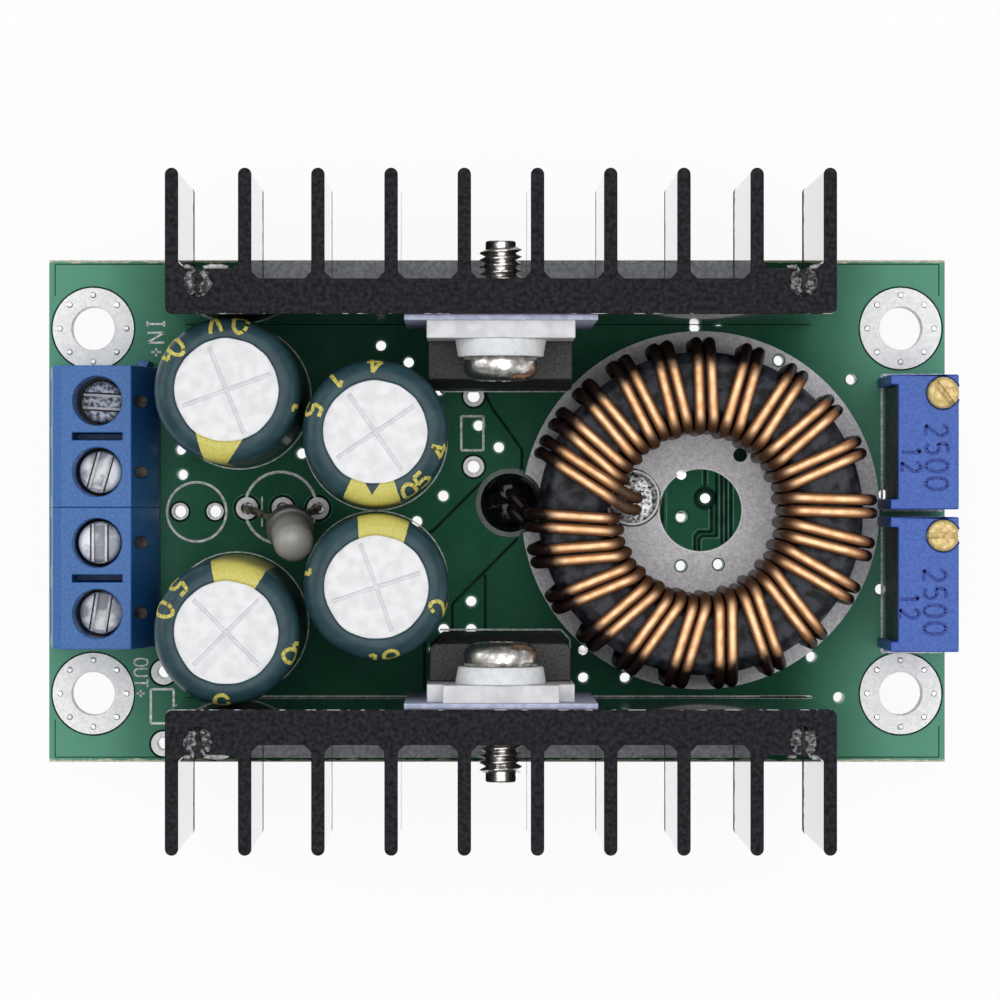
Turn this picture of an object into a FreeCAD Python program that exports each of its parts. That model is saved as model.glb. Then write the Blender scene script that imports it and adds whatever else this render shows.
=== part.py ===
"""Step-down (buck) converter module: a two-sided board with two finned heatsinks, a toroidal choke,
four electrolytic capacitors, screw terminals and two multi-turn trimmers.

Frame, millimetres: the origin is the centre of the four mounting holes on the board's underside,
+X runs from the screw terminals to the trimmers, +Z is the component side.
"""

import FreeCAD
import Part
import math
import os

Vec = FreeCAD.Vector
UP = Vec(0, 0, 1)

# Board
board_length = 65.0
board_width = 36.4
board_thickness = 1.6
mounting_spacing_x = 58.6
mounting_spacing_y = 26.5
mounting_hole_r = 1.6
spare_hole_r = 0.5
spare_holes = [
    (-23.0, -0.03), (-20.46, -0.03),
    (-1.69, 8.34), (-1.69, 3.22),
    (-24.2, -11.7), (-24.2, -16.9),
]
drill_run = 1.0

# Solder and clipped leads on the underside
hole_clearance = 0.12
solder_land = 0.45
solder_height = 1.5
solder_sides = 10
lead_stub = 0.9

# Heatsinks, extruded in the board's upward direction
sink_centre_x = 0.1
sink_inner_face_y = 13.5
sink_base_thickness = 2.45
sink_depth = 10.0
sink_height = 19.0
fin_count = 10
fin_pitch = 5.0
fin_thickness = 0.92
fin_root_chamfer = 0.45
base_corner_r = 0.5
groove_land_thickness = 0.65
groove_offset = 1.8
groove_r = 1.0
groove_wall = 1.2
sink_pin_clearance = 0.04
sink_pin_insertion = 8.0
sink_pin_below_board = 2.6

# Clamped power packages
package_centre_x = 0.12
insulator_thickness = 0.35
insulator_width = 13.3
insulator_hole_clearance = 0.2
tab_thickness = 1.25
tab_width = 10.2
regulator_width = 10.1
rectifier_width = 9.9
package_thickness = 4.5
package_lift = 2.4
body_height = 9.2
tab_above_body = 6.4
screw_above_body = 3.6
insulator_height = package_lift + body_height + tab_above_body
tab_notch_width = 1.1
tab_notch_height = 1.9
body_top_bevel = 1.2
body_front_bevel = 0.6
rectifier_corner_chamfer = 0.9
lead_from_tab_back = 2.6
lead_width = 0.8
lead_thickness = 0.5
regulator_lead_pitch = 1.7
rectifier_lead_pitch = 2.54
lead_row_spacing = 2.6
lead_jog_height = 0.5

# Clamp screws and their insulating bushes
screw_r = 1.5
screw_length = 8.0
screw_hole_clearance = 0.05
screw_head_r = 2.6
screw_head_height = 1.7
screw_head_rim = 0.6
screw_head_flat = 0.3
cross_recess_span = 2.9
cross_recess_width = 0.62
cross_recess_depth = 0.9
bush_flange_r = 3.15
bush_flange_front_r = 2.95
bush_flange_thickness = 1.2
bush_sleeve_wall = 0.25
bush_sleeve_length = 1.1
bush_clearance = 0.05

# Electrolytic capacitors
capacitor_centres = [(-18.7, 8.25), (-8.8, 5.25), (-8.75, -5.2), (-18.87, -8.18)]
capacitor_lead_turns = [20.0, 34.0, 18.0, 45.0]
can_r = 4.85
can_height = 16.85
can_shoulder = 0.7
sleeve_thickness = 0.2
sleeve_window_r = 3.56
capacitor_lead_pitch = 5.0
capacitor_lead_r = 0.3

# Toroidal choke: a ferrite-like ring with two parallel enamelled wires
choke_centre = Vec(14.33, -0.15, 0)
core_outer_r = 11.4
core_inner_r = 6.6
core_height = 8.1
core_chamfer = 0.7
wire_r = 0.4
wire_sides = 6
winding_clearance = 0.12
strand_gap = 0.34
outer_bulge = 0.17
second_layer_rise = 0.86
inner_layer_step = 0.15
winding_board_gap = 0.1
outer_bend = 1.1
outer_bend_share = 0.1
inner_bend = 0.6
# Outer angle of each turn, as wound by hand
turn_angles = [
    182.2, 194.7, 211.6, 228.9, 244.1, 261.2, 278.1, 295.5, 312.7, 332.0, 347.8,
    362.3, 382.8, 399.4, 415.7, 432.3, 449.4, 463.7, 478.3, 493.0, 506.0, 516.8,
]
# Inside the eye all the wires stand side by side
first_inner_angle = 182.9
inner_wire_step = 8.13
end_wire_r = 4.67
end_wire_angles = [526.5, 536.7]
start_pad = Vec(0.87, 0.82, 0)
end_pad = Vec(9.8, 0.97, 0)
pad_wire_spacing = 1.15
choke_pad_hole_r = 1.35

# Screw terminals
terminal_pitch = 5.0
terminal_front_x = -32.3
terminal_back_x = -24.4
terminal_height = 10.0
terminal_top_front_x = -30.8
terminal_top_back_x = -25.8
terminal_front_height = 1.0
terminal_bevel_x = -31.4
terminal_bevel_height = 9.35
terminal_back_height = 4.4
terminal_block_centres_y = [5.28, -4.72]
terminal_screw_x = -28.2
well_r = 1.73
divider_slot_length = 3.54
divider_slot_width = 0.53
divider_slot_depth = 4.0
probe_hole_r = 0.45
probe_hole_x = -25.3
probe_hole_depth = 3.4
wire_entry_width = 3.4
wire_entry_height = 3.3
rib_width = 1.0
rib_depth = 0.5
rib_height = 3.9
rib_clearance = 0.05
cage_width = 4.0
cage_length = 4.2
cage_wall = 0.5
cage_top_thickness = 0.9
cage_floor_height = 0.7
cage_below_top = 4.3
cage_top_height = terminal_height - cage_below_top
cage_clearance = 0.05
terminal_pin_width = 1.0
terminal_screw_r = 1.5
terminal_screw_length = 3.6
terminal_screw_clearance = 0.06
terminal_screw_slot_width = 0.75
terminal_screw_slot_depth = 0.8
terminal_screw_recesses = [4.1, 2.8, 1.9, 3.2]
terminal_screw_slot_turns = [-3.0, 74.0, 90.0, 81.0]
pressure_plate_thickness = 0.4
pressure_plate_clearance = 0.15

# Multi-turn trimmers
trimmer_centre_x = 30.0
trimmer_centres_y = [4.885, -5.15]
trimmer_thickness = 4.8
trimmer_length = 9.5
trimmer_height = 9.7
trimmer_foot = 0.3
trimmer_foot_size = 1.0
trimmer_flange = 0.72
trimmer_recess = 1.4
potting_setback = 0.55
trimmer_screw_r = 1.11
trimmer_screw_clearance = 0.04
trimmer_screw_pocket = 1.6
trimmer_screw_proud = 0.45
trimmer_screw_slot = 0.45
trimmer_slot_depth = 0.6
trimmer_screw_from_end = 1.3
trimmer_screw_from_face = 1.12
trimmer_slot_turns = [-52.0, 0.0]
trimmer_pin_r = 0.25
trimmer_pin_pitch = 2.54

# Three-lead indicator lamp, leaning on its bent legs
lamp_pads_x = [-18.14, -15.55, -12.99]
lamp_pads_y = 0.2
lamp_base = Vec(-14.87, -1.03, 5.0)
lamp_lean = Vec(0.57, -1.62, 4.0)
lamp_flange_r = 1.7
lamp_flange_height = 0.9
lamp_r = 1.45
lamp_height = 4.3
lamp_lead_spacing = 1.0
lamp_lead_width = 0.45
lamp_lead_drop = 1.5
lamp_lead_rise = 1.0

# Small parts soldered flat on the underside
amplifier_centre = Vec(17.5, 2.0, 0)
amplifier_length = 4.9
amplifier_width = 3.9
amplifier_height = 1.5
amplifier_lead_pitch = 1.27
amplifier_lead_span = 6.0
amplifier_lead_width = 0.42
amplifier_lead_thickness = 0.2
supply_centre = Vec(7.0, -10.5, 0)
supply_length = 4.5
supply_width = 2.5
supply_height = 1.5
supply_lead_pitch = 1.5
supply_lead_reach = 1.0
supply_lead_width = 0.45
supply_lead_thickness = 0.4
supply_tab_width = 1.7
supply_tab_reach = 0.8
flat_package_bevel = 0.2
shunt_centre = Vec(4.0, -5.0, 0)
shunt_size = Vec(6.4, 3.2, 0.6)
shunt_cap_length = 0.7
chip_size = Vec(2.0, 1.25, 0.5)
chip_resistor_centres = [
    (13.0, 5.6), (13.0, 2.9), (13.0, -2.0),
    (23.0, 5.6), (23.0, -2.6), (23.0, 1.8),
    (6.0, 5.5),
]
chip_capacitor_centres = [
    (13.0, 0.4), (23.0, -0.4), (17.5, -3.2),
    (6.0, 8.2), (11.5, -8.5), (12.5, -11.5),
]

board_top = board_thickness
package_front_y = sink_inner_face_y - insulator_thickness - package_thickness
tab_front_y = sink_inner_face_y - insulator_thickness - tab_thickness
package_bottom = board_top + package_lift
package_body_top = package_bottom + body_height
clamp_screw_z = package_body_top + screw_above_body
sink_base_outer_y = sink_inner_face_y + sink_base_thickness
groove_centre_y = sink_inner_face_y + groove_wall + groove_r
groove_x = (fin_count - 1) * fin_pitch / 2 - groove_offset


def block(x_range, y_range, z_range):
    """A box between three pairs of limits."""
    size = [limits[1] - limits[0] for limits in (x_range, y_range, z_range)]
    corner = Vec(x_range[0], y_range[0], z_range[0])
    return Part.makeBox(size[0], size[1], size[2], corner)


def centred(middle, size):
    """A pair of limits around a middle value."""
    return middle - size / 2, middle + size / 2


def rod(centre, z_range, radius):
    """An upright cylinder."""
    foot = Vec(centre.x, centre.y, z_range[0])
    return Part.makeCylinder(radius, z_range[1] - z_range[0], foot, UP)


def prism(outline, run):
    """A polygon pushed along a vector."""
    face = Part.Face(Part.makePolygon(outline + [outline[0]]))
    return face.extrude(run)


def turned(profile, centre):
    """A profile of (radius, height) points turned about an upright axis through centre."""
    outline = [Vec(r, 0, z) for r, z in profile]
    face = Part.Face(Part.makePolygon(outline + [outline[0]]))
    solid = face.revolve(Vec(0, 0, 0), UP, 360)
    solid.translate(centre)
    return solid


def joined(solids):
    """Several overlapping or touching solids made one, with no seams left."""
    return solids[0].fuse(solids[1:]).removeSplitter()


def mirrored_y(shape):
    """The same shape on the board's other long side."""
    return shape.mirror(Vec(0, 0, 0), Vec(0, 1, 0))


def ring_around(direction, sides, radius):
    """Corner offsets of a regular section across a direction."""
    level = direction.cross(UP) if abs(direction.z) < 0.9 else direction.cross(Vec(0, 1, 0))
    level.normalize()
    steep = direction.cross(level)
    turns = [2 * math.pi * (k + 0.5) / sides for k in range(sides)]
    return [level * radius * math.cos(a) + steep * radius * math.sin(a) for a in turns]


def flat_section(width, thick):
    """Corner offsets of a rectangular section, wide along X and thick along a given vector."""
    across = Vec(width / 2, 0, 0)
    deep = thick / 2
    return [-across - deep, across - deep, across + deep, deep - across]


def mitred_bar(path, section):
    """A bar of constant section along straight runs with mitred corners; every face is flat."""
    rings = [[path[0] + corner for corner in section]]
    last = len(path) - 1
    for k in range(1, last + 1):
        run = (path[k] - path[k - 1]).normalize()
        onward = (path[k + 1] - path[k]).normalize() if k < last else run
        cut = (run + onward).normalize()
        step = [(path[k] - corner).dot(cut) / run.dot(cut) for corner in rings[-1]]
        rings.append([corner + run * reach for corner, reach in zip(rings[-1], step)])
    faces = [Part.Face(Part.makePolygon(ring + [ring[0]])) for ring in (rings[0], rings[-1])]
    for near, far in zip(rings, rings[1:]):
        for k in range(len(section)):
            n = (k + 1) % len(section)
            faces.append(Part.Face(Part.makePolygon([near[k], near[n], far[n], far[k], near[k]])))
    solid = Part.Solid(Part.Shell(faces))
    return solid if solid.Volume > 0 else solid.reversed()


# Where leads pass through the board: (centre, radius of the hole)
through_holes = []


def bore_for(centre, lead_r):
    """Notes a hole in the board for a lead and returns the lead's centre."""
    through_holes.append((centre, lead_r + hole_clearance))
    return centre


def heatsink():
    """The upper heatsink: base, ten fins, grooved end bays and a hole for the clamp screw."""
    z_range = (board_top, board_top + sink_height)
    half = (fin_count - 1) * fin_pitch / 2
    x_range = (sink_centre_x - half - fin_thickness / 2, sink_centre_x + half + fin_thickness / 2)
    solids = [block(x_range, (sink_inner_face_y, sink_base_outer_y), z_range)]
    tip_y = sink_inner_face_y + sink_depth - fin_thickness / 2
    for k in range(fin_count):
        x = sink_centre_x - half + k * fin_pitch
        solids.append(block(centred(x, fin_thickness), (sink_inner_face_y, tip_y), z_range))
        solids.append(rod(Vec(x, tip_y, 0), z_range, fin_thickness / 2))
    land_y = (sink_inner_face_y, sink_base_outer_y + groove_land_thickness)
    for side in (-1, 1):
        bay = sorted((sink_centre_x + side * half, sink_centre_x + side * (half - fin_pitch)))
        solids.append(block(bay, land_y, z_range))
    sink = joined(solids)
    sink = sink.makeChamfer(fin_root_chamfer, root_edges(sink, half))
    sink = sink.makeFillet(base_corner_r, upright_edges(sink, sink_inner_face_y))
    for side in (-1, 1):
        groove = rod(Vec(sink_centre_x + side * groove_x, groove_centre_y, 0), z_range, groove_r)
        sink = sink.cut(groove)
    hole_r = screw_r + screw_hole_clearance
    return sink.cut(clamp_hole(hole_r, (sink_inner_face_y, sink_base_outer_y)))


def clamp_hole(radius, y_range):
    """What is drilled along the clamp screw's axis between two faces."""
    start = Vec(package_centre_x, y_range[0] - drill_run, clamp_screw_z)
    return Part.makeCylinder(radius, y_range[1] - y_range[0] + 2 * drill_run, start, Vec(0, 1, 0))


def upright_edges(shape, y):
    """The vertical edges that lie in the plane of a given y."""
    return [e for e in shape.Edges if is_upright(e) and abs(e.Vertexes[0].Y - y) < 1e-6]


def is_upright(edge):
    """True for a straight edge along Z."""
    ends = edge.Vertexes
    if len(ends) < 2:
        return False
    run = ends[1].Point - ends[0].Point
    return abs(run.z) > 1 and Vec(run.x, run.y, 0).Length < 1e-6


def root_edges(sink, half):
    """The vertical edges where fins meet the base, in the plain bays and in the grooved end bays."""
    outer_x = half + fin_thickness / 2
    plain = upright_edges(sink, sink_base_outer_y)
    raised = upright_edges(sink, sink_base_outer_y + groove_land_thickness)
    edges = plain + raised
    return [e for e in edges if abs(e.Vertexes[0].X - sink_centre_x) < outer_x - 1e-3]


def sink_pins():
    """Four round pins pressed up into the heatsinks' grooves; they also stand on the surface below."""
    pins = []
    for side_x in (-1, 1):
        for side_y in (-1, 1):
            centre = Vec(sink_centre_x + side_x * groove_x, side_y * groove_centre_y, 0)
            pin_r = groove_r - sink_pin_clearance
            bore_for(centre, pin_r)
            pins.append(rod(centre, (-sink_pin_below_board, board_top + sink_pin_insertion), pin_r))
    return pins


def insulator():
    """The soft thermal sheet between package and heatsink."""
    y_range = (sink_inner_face_y - insulator_thickness, sink_inner_face_y)
    z_range = (board_top, board_top + insulator_height)
    sheet = block(centred(package_centre_x, insulator_width), y_range, z_range)
    return sheet.cut(clamp_hole(screw_r + insulator_hole_clearance, y_range))


def package_tab(notched):
    """The metal mounting tab of a power package, with its screw hole."""
    y_range = (tab_front_y, tab_front_y + tab_thickness)
    top = package_body_top + tab_above_body
    tab = block(centred(package_centre_x, tab_width), y_range, (package_bottom, top))
    hole_r = screw_r + screw_hole_clearance + bush_sleeve_wall + bush_clearance
    tab = tab.cut(clamp_hole(hole_r, y_range))
    if notched:
        for side in (-1, 1):
            edge_x = package_centre_x + side * tab_width / 2
            inner_x = edge_x - side * tab_notch_width
            corner = sorted((edge_x, inner_x))
            tab = tab.cut(block(corner, y_range, (top - tab_notch_height, top)))
    return tab


def package_body(width, corner_chamfer):
    """The moulded body seated on the front of the tab; its front top edge is bevelled."""
    top = package_body_top
    back = tab_front_y
    front = package_front_y
    x = package_centre_x - width / 2
    side = [
        Vec(x, back, package_bottom),
        Vec(x, front, package_bottom),
        Vec(x, front, top - body_top_bevel),
        Vec(x, front + body_front_bevel, top),
        Vec(x, back, top),
    ]
    body = prism(side, Vec(width, 0, 0))
    if corner_chamfer:
        body = body.makeChamfer(corner_chamfer, upright_edges(body, front))
    return body


def package_leads(count, pitch, rows):
    """Flat leads from the body's underside, jogged to their rows of holes in the board."""
    leads = []
    exit_y = sink_inner_face_y - insulator_thickness - lead_from_tab_back
    jog_top = package_bottom - lead_jog_height
    jog_bottom = board_top + lead_jog_height
    section = flat_section(lead_width, Vec(0, lead_thickness, 0))
    for k in range(count):
        x = package_centre_x + (k - (count - 1) / 2) * pitch
        hole_y = exit_y + rows[k % len(rows)]
        bore_for(Vec(x, hole_y, 0), math.hypot(lead_width, lead_thickness) / 2)
        path = [Vec(x, exit_y, package_bottom)]
        if abs(hole_y - exit_y) > 1e-6:
            path += [Vec(x, exit_y, jog_top), Vec(x, hole_y, jog_bottom)]
        path.append(Vec(x, hole_y, -lead_stub))
        leads.append(mitred_bar(path, section))
    return leads


def clamp_screw():
    """Pan-head screw with a cross recess, driven from the tab side into the heatsink."""
    profile = [
        (0, -screw_length),
        (screw_r, -screw_length),
        (screw_r, 0),
        (screw_head_r, 0),
        (screw_head_r, screw_head_rim),
        (screw_head_r - screw_head_rim, screw_head_height - screw_head_flat),
        (screw_head_r - 2 * screw_head_rim, screw_head_height),
        (0, screw_head_height),
    ]
    screw = turned(profile, Vec(0, 0, 0))
    floor = screw_head_height - cross_recess_depth
    z_range = (floor, screw_head_height + 1)
    for span in ((cross_recess_span, cross_recess_width), (cross_recess_width, cross_recess_span)):
        screw = screw.cut(block(centred(0, span[0]), centred(0, span[1]), z_range))
    return laid_on_clamp_axis(screw, tab_front_y - bush_flange_thickness)


def bush():
    """Insulating shoulder bush: a flange under the screw head and a sleeve inside the tab's hole."""
    bore_r = screw_r + screw_hole_clearance
    sleeve_r = bore_r + bush_sleeve_wall
    profile = [
        (bore_r, -bush_sleeve_length),
        (sleeve_r, -bush_sleeve_length),
        (sleeve_r, 0),
        (bush_flange_r, 0),
        (bush_flange_front_r, bush_flange_thickness),
        (bore_r, bush_flange_thickness),
    ]
    return laid_on_clamp_axis(turned(profile, Vec(0, 0, 0)), tab_front_y)


def laid_on_clamp_axis(shape, seat_y):
    """A shape made along +Z from a seat at z = 0 is laid with its head towards the board's middle."""
    shape.rotate(Vec(0, 0, 0), Vec(1, 0, 0), 90)
    shape.translate(Vec(package_centre_x, seat_y, clamp_screw_z))
    return shape


def capacitor_can(centre):
    """The aluminium can, a sealed piece with a bevelled top edge."""
    top = board_top + can_height
    profile = [
        (0, board_top),
        (can_r, board_top),
        (can_r, top - can_shoulder),
        (can_r - can_shoulder, top),
        (0, top),
    ]
    return turned(profile, centre)


def capacitor_sleeve(centre):
    """The shrunk plastic sleeve, curled over the can's edge and open over its scored top."""
    top = board_top + can_height
    outer_r = can_r + sleeve_thickness
    lip_top = top + sleeve_thickness
    profile = [
        (can_r, board_top),
        (outer_r, board_top),
        (outer_r, lip_top - can_shoulder),
        (outer_r - can_shoulder, lip_top),
        (sleeve_window_r, lip_top),
        (sleeve_window_r, top),
        (can_r - can_shoulder, top),
        (can_r, top - can_shoulder),
    ]
    return turned(profile, centre)


def capacitor_leads():
    """Two round leads under each can, through the board."""
    leads = []
    for (x, y), turn in zip(capacitor_centres, capacitor_lead_turns):
        for side in (-1, 1):
            reach = side * capacitor_lead_pitch / 2
            angle = math.radians(turn)
            centre = Vec(x + reach * math.cos(angle), y + reach * math.sin(angle), 0)
            bore_for(centre, capacitor_lead_r)
            leads.append(rod(centre, (0, board_top), capacitor_lead_r))
    return leads


def choke_levels():
    """Heights of the core and of the wire centres under and over it."""
    low = board_top + winding_board_gap + wire_r + second_layer_rise
    core_bottom = low + wire_r + winding_clearance
    core_top = core_bottom + core_height
    high = core_top + winding_clearance + wire_r
    return low, core_bottom, core_top, high


def choke_core():
    """The powder-coated ring inside the winding."""
    low, core_bottom, core_top, high = choke_levels()
    profile = [
        (core_inner_r, core_bottom + core_chamfer),
        (core_inner_r + core_chamfer, core_bottom),
        (core_outer_r - core_chamfer, core_bottom),
        (core_outer_r, core_bottom + core_chamfer),
        (core_outer_r, core_top - core_chamfer),
        (core_outer_r - core_chamfer, core_top),
        (core_inner_r + core_chamfer, core_top),
        (core_inner_r, core_top - core_chamfer),
    ]
    return turned(profile, choke_centre)


def around_core(radius, angle, z):
    """A point at a radius and angle from the choke's axis."""
    a = math.radians(angle)
    return choke_centre + Vec(radius * math.cos(a), radius * math.sin(a), z)


def strand_path(strand):
    """Corner points of one of the two parallel wires, from its pad outside the core to the one inside.

    Both strands lie flat on the core. Underneath, strand 1 leans below strand 0 towards the eye,
    where the slanting wires haven't room side by side. The last turn climbs over its neighbour.
    """
    low, core_bottom, core_top, high = choke_levels()
    outer_r = core_outer_r + winding_clearance + outer_bulge + wire_r
    inner_r = core_inner_r - winding_clearance - wire_r - strand * inner_layer_step
    lift = strand * second_layer_rise
    side_step = math.degrees((wire_r + strand_gap / 2) / outer_r)
    outward = side_step if strand else -side_step
    pad_side = (strand - 0.5) * pad_wire_spacing
    path = [start_pad + Vec(0, -pad_side, -lead_stub), start_pad + Vec(0, -pad_side, low)]
    for turn, outer_angle in enumerate(turn_angles):
        outer = outer_angle + outward
        inner = first_inner_angle + (2 * turn + strand) * inner_wire_step
        top = high
        if turn == len(turn_angles) - 1:
            inner = end_wire_angles[strand]
            inner_r = end_wire_r
            top = high + second_layer_rise
        path += [
            around_core(outer_r, outer, low),
            around_core(outer_r, outer, high - outer_bend),
            around_core(outer_r - outer_bend, outer + outer_bend_share * (inner - outer), high),
            around_core(inner_r + inner_bend, inner, top),
            around_core(inner_r, inner, top - inner_bend),
            around_core(inner_r, inner, low - lift),
        ]
    path[-1] = around_core(end_wire_r, inner, -lead_stub)
    return path


def winding_strand(strand):
    """One enamelled wire, turn after turn round the core."""
    path = strand_path(strand)
    direction = (path[1] - path[0]).normalize()
    return mitred_bar(path, ring_around(direction, wire_sides, wire_r))


def terminal_housing(centre_y):
    """One two-way housing: extruded side profile, with wells, entries, cage chambers and slots."""
    y_range = centred(centre_y, 2 * terminal_pitch)
    side = [
        Vec(terminal_front_x, y_range[0], board_top),
        Vec(terminal_front_x, y_range[0], board_top + terminal_front_height),
        Vec(terminal_bevel_x, y_range[0], board_top + terminal_bevel_height),
        Vec(terminal_top_front_x, y_range[0], board_top + terminal_height),
        Vec(terminal_top_back_x, y_range[0], board_top + terminal_height),
        Vec(terminal_back_x, y_range[0], board_top + terminal_back_height),
        Vec(terminal_back_x, y_range[0], board_top),
    ]
    housing = prism(side, Vec(0, y_range[1] - y_range[0], 0))
    housing = joined([housing, interlock_rib(y_range[1], 0)])
    housing = housing.cut(interlock_rib(y_range[0], rib_clearance))
    for y in pole_positions(centre_y):
        housing = housing.cut(terminal_chamber(y))
    top = board_top + terminal_height
    slot_x = centred(terminal_screw_x, divider_slot_length)
    slot = block(slot_x, centred(centre_y, divider_slot_width), (top - divider_slot_depth, top + 1))
    return housing.cut(slot)


def pole_positions(centre_y):
    """The two pole lines of one housing."""
    return [centre_y + terminal_pitch / 2, centre_y - terminal_pitch / 2]


def interlock_rib(y, grow):
    """The dovetail rib that keys neighbouring housings together, grown to make its groove."""
    wide = rib_width / 2 + grow
    narrow = rib_width / 4 + grow
    x = terminal_back_x - rib_width
    z = board_top
    outline = [
        Vec(x - narrow, y, z),
        Vec(x + narrow, y, z),
        Vec(x + wide, y + rib_depth + grow, z),
        Vec(x - wide, y + rib_depth + grow, z),
    ]
    return prism(outline, Vec(0, 0, rib_height + grow))


def terminal_chamber(y):
    """All that is hollow at one pole: cage chamber, wire entry, screw well and probe hole."""
    grown_width = cage_width + 2 * cage_clearance
    x_range = centred(terminal_screw_x, cage_length + 2 * cage_clearance)
    roof = board_top + cage_top_height + cage_clearance
    top = board_top + terminal_height
    chamber = block(x_range, centred(y, grown_width), (board_top - 1, roof))
    entry_floor = board_top + cage_floor_height + cage_wall
    entry_x = (terminal_front_x - 1, terminal_screw_x)
    entry_z = (entry_floor, entry_floor + wire_entry_height)
    entry = block(entry_x, centred(y, wire_entry_width), entry_z)
    well = rod(Vec(terminal_screw_x, y, 0), (roof - 0.1, top + 1), well_r)
    probe = rod(Vec(probe_hole_x, y, 0), (top - probe_hole_depth, top + 1), probe_hole_r)
    return joined([chamber, entry, well]).fuse(probe)


def contact_cage(y):
    """A folded metal cage with a threaded top, open towards the wire, and its solder pin."""
    floor = board_top + cage_floor_height
    roof = board_top + cage_top_height
    x_range = centred(terminal_screw_x, cage_length)
    cage = block(x_range, centred(y, cage_width), (floor, roof))
    hollow_x = (x_range[0] - 1, x_range[1] + 1)
    hollow_z = (floor + cage_wall, roof - cage_top_thickness)
    cage = cage.cut(block(hollow_x, centred(y, cage_width - 2 * cage_wall), hollow_z))
    thread_r = terminal_screw_r + terminal_screw_clearance
    thread_z = (hollow_z[1] - drill_run, roof + drill_run)
    cage = cage.cut(rod(Vec(terminal_screw_x, y, 0), thread_z, thread_r))
    centre = Vec(terminal_screw_x, y, 0)
    bore_for(centre, terminal_pin_width * math.sqrt(0.5))
    pin_x = centred(terminal_screw_x, terminal_pin_width)
    pin = block(pin_x, centred(y, terminal_pin_width), (-lead_stub, floor))
    return joined([cage, pin])


def terminal_screw(y, recess, slot_turn):
    """A slotted clamping screw, at the depth it was left at."""
    top = board_top + terminal_height - recess
    axis = Vec(terminal_screw_x, y, 0)
    screw = rod(axis, (top - terminal_screw_length, top), terminal_screw_r)
    across = 2 * terminal_screw_r + 1
    slot_z = (top - terminal_screw_slot_depth, top + 1)
    slot = block(centred(0, across), centred(0, terminal_screw_slot_width), slot_z)
    slot.rotate(Vec(0, 0, 0), UP, slot_turn)
    slot.translate(axis)
    return screw.cut(slot)


def pressure_plate(y, recess):
    """The loose plate that the screw's tip presses onto the wire."""
    top = board_top + terminal_height - recess - terminal_screw_length
    width = cage_width - 2 * cage_wall - 2 * pressure_plate_clearance
    x_range = centred(terminal_screw_x, cage_length - 2 * pressure_plate_clearance)
    return block(x_range, centred(y, width), (top - pressure_plate_thickness, top))


def trimmer_housing(centre_y):
    """The moulded case: feet below, an open side for the potting, and a pocket for the screw."""
    bottom = board_top + trimmer_foot
    top = bottom + trimmer_height
    x_range = centred(trimmer_centre_x, trimmer_thickness)
    y_range = centred(centre_y, trimmer_length)
    case = block(x_range, y_range, (bottom, top))
    recess_y = (y_range[0] + trimmer_flange, y_range[1] - trimmer_flange)
    recess_x = (x_range[0] - 1, x_range[0] + trimmer_recess)
    case = case.cut(block(recess_x, recess_y, (bottom - 1, top - trimmer_flange)))
    notch_x = (x_range[0] - 1, x_range[0] + potting_setback)
    case = case.cut(block(notch_x, recess_y, (bottom - 1, top + 1)))
    feet = [case]
    for x in (x_range[0], x_range[1] - trimmer_foot_size):
        for y in (y_range[0], y_range[1] - trimmer_flange):
            foot_x = (x, x + trimmer_foot_size)
            feet.append(block(foot_x, (y, y + trimmer_flange), (board_top, bottom)))
    case = joined(feet)
    pocket_r = trimmer_screw_r + trimmer_screw_clearance
    return case.cut(rod(trimmer_screw_axis(centre_y), (top - trimmer_screw_pocket, top + 1), pocket_r))


def trimmer_screw_axis(centre_y):
    """Where a trimmer's adjusting screw stands in plan."""
    x = trimmer_centre_x + trimmer_thickness / 2 - trimmer_screw_from_face
    return Vec(x, centre_y + trimmer_length / 2 - trimmer_screw_from_end, 0)


def trimmer_potting(centre_y):
    """The resin that seals the case's open side, set back from its edges."""
    bottom = board_top + trimmer_foot
    back = trimmer_centre_x - trimmer_thickness / 2
    x_range = (back + potting_setback, back + trimmer_recess)
    y_range = centred(centre_y, trimmer_length - 2 * trimmer_flange)
    return block(x_range, y_range, (bottom, bottom + trimmer_height - trimmer_flange))


def trimmer_screw(centre_y, slot_turn):
    """The brass adjusting screw, slotted, standing a little proud."""
    top = board_top + trimmer_foot + trimmer_height
    axis = trimmer_screw_axis(centre_y)
    head_top = top + trimmer_screw_proud
    screw = rod(axis, (top - trimmer_screw_pocket, head_top), trimmer_screw_r)
    across = 2 * trimmer_screw_r + 1
    slot_z = (head_top - trimmer_slot_depth, head_top + 1)
    slot = block(centred(0, across), centred(0, trimmer_screw_slot), slot_z)
    slot.rotate(Vec(0, 0, 0), UP, slot_turn)
    slot.translate(axis)
    return screw.cut(slot)


def trimmer_pins():
    """Three round pins under each trimmer."""
    pins = []
    for centre_y in trimmer_centres_y:
        for k in (-1, 0, 1):
            centre = Vec(trimmer_centre_x, centre_y + k * trimmer_pin_pitch, 0)
            bore_for(centre, trimmer_pin_r)
            pins.append(rod(centre, (0, board_top + trimmer_foot), trimmer_pin_r))
    return pins


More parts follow.
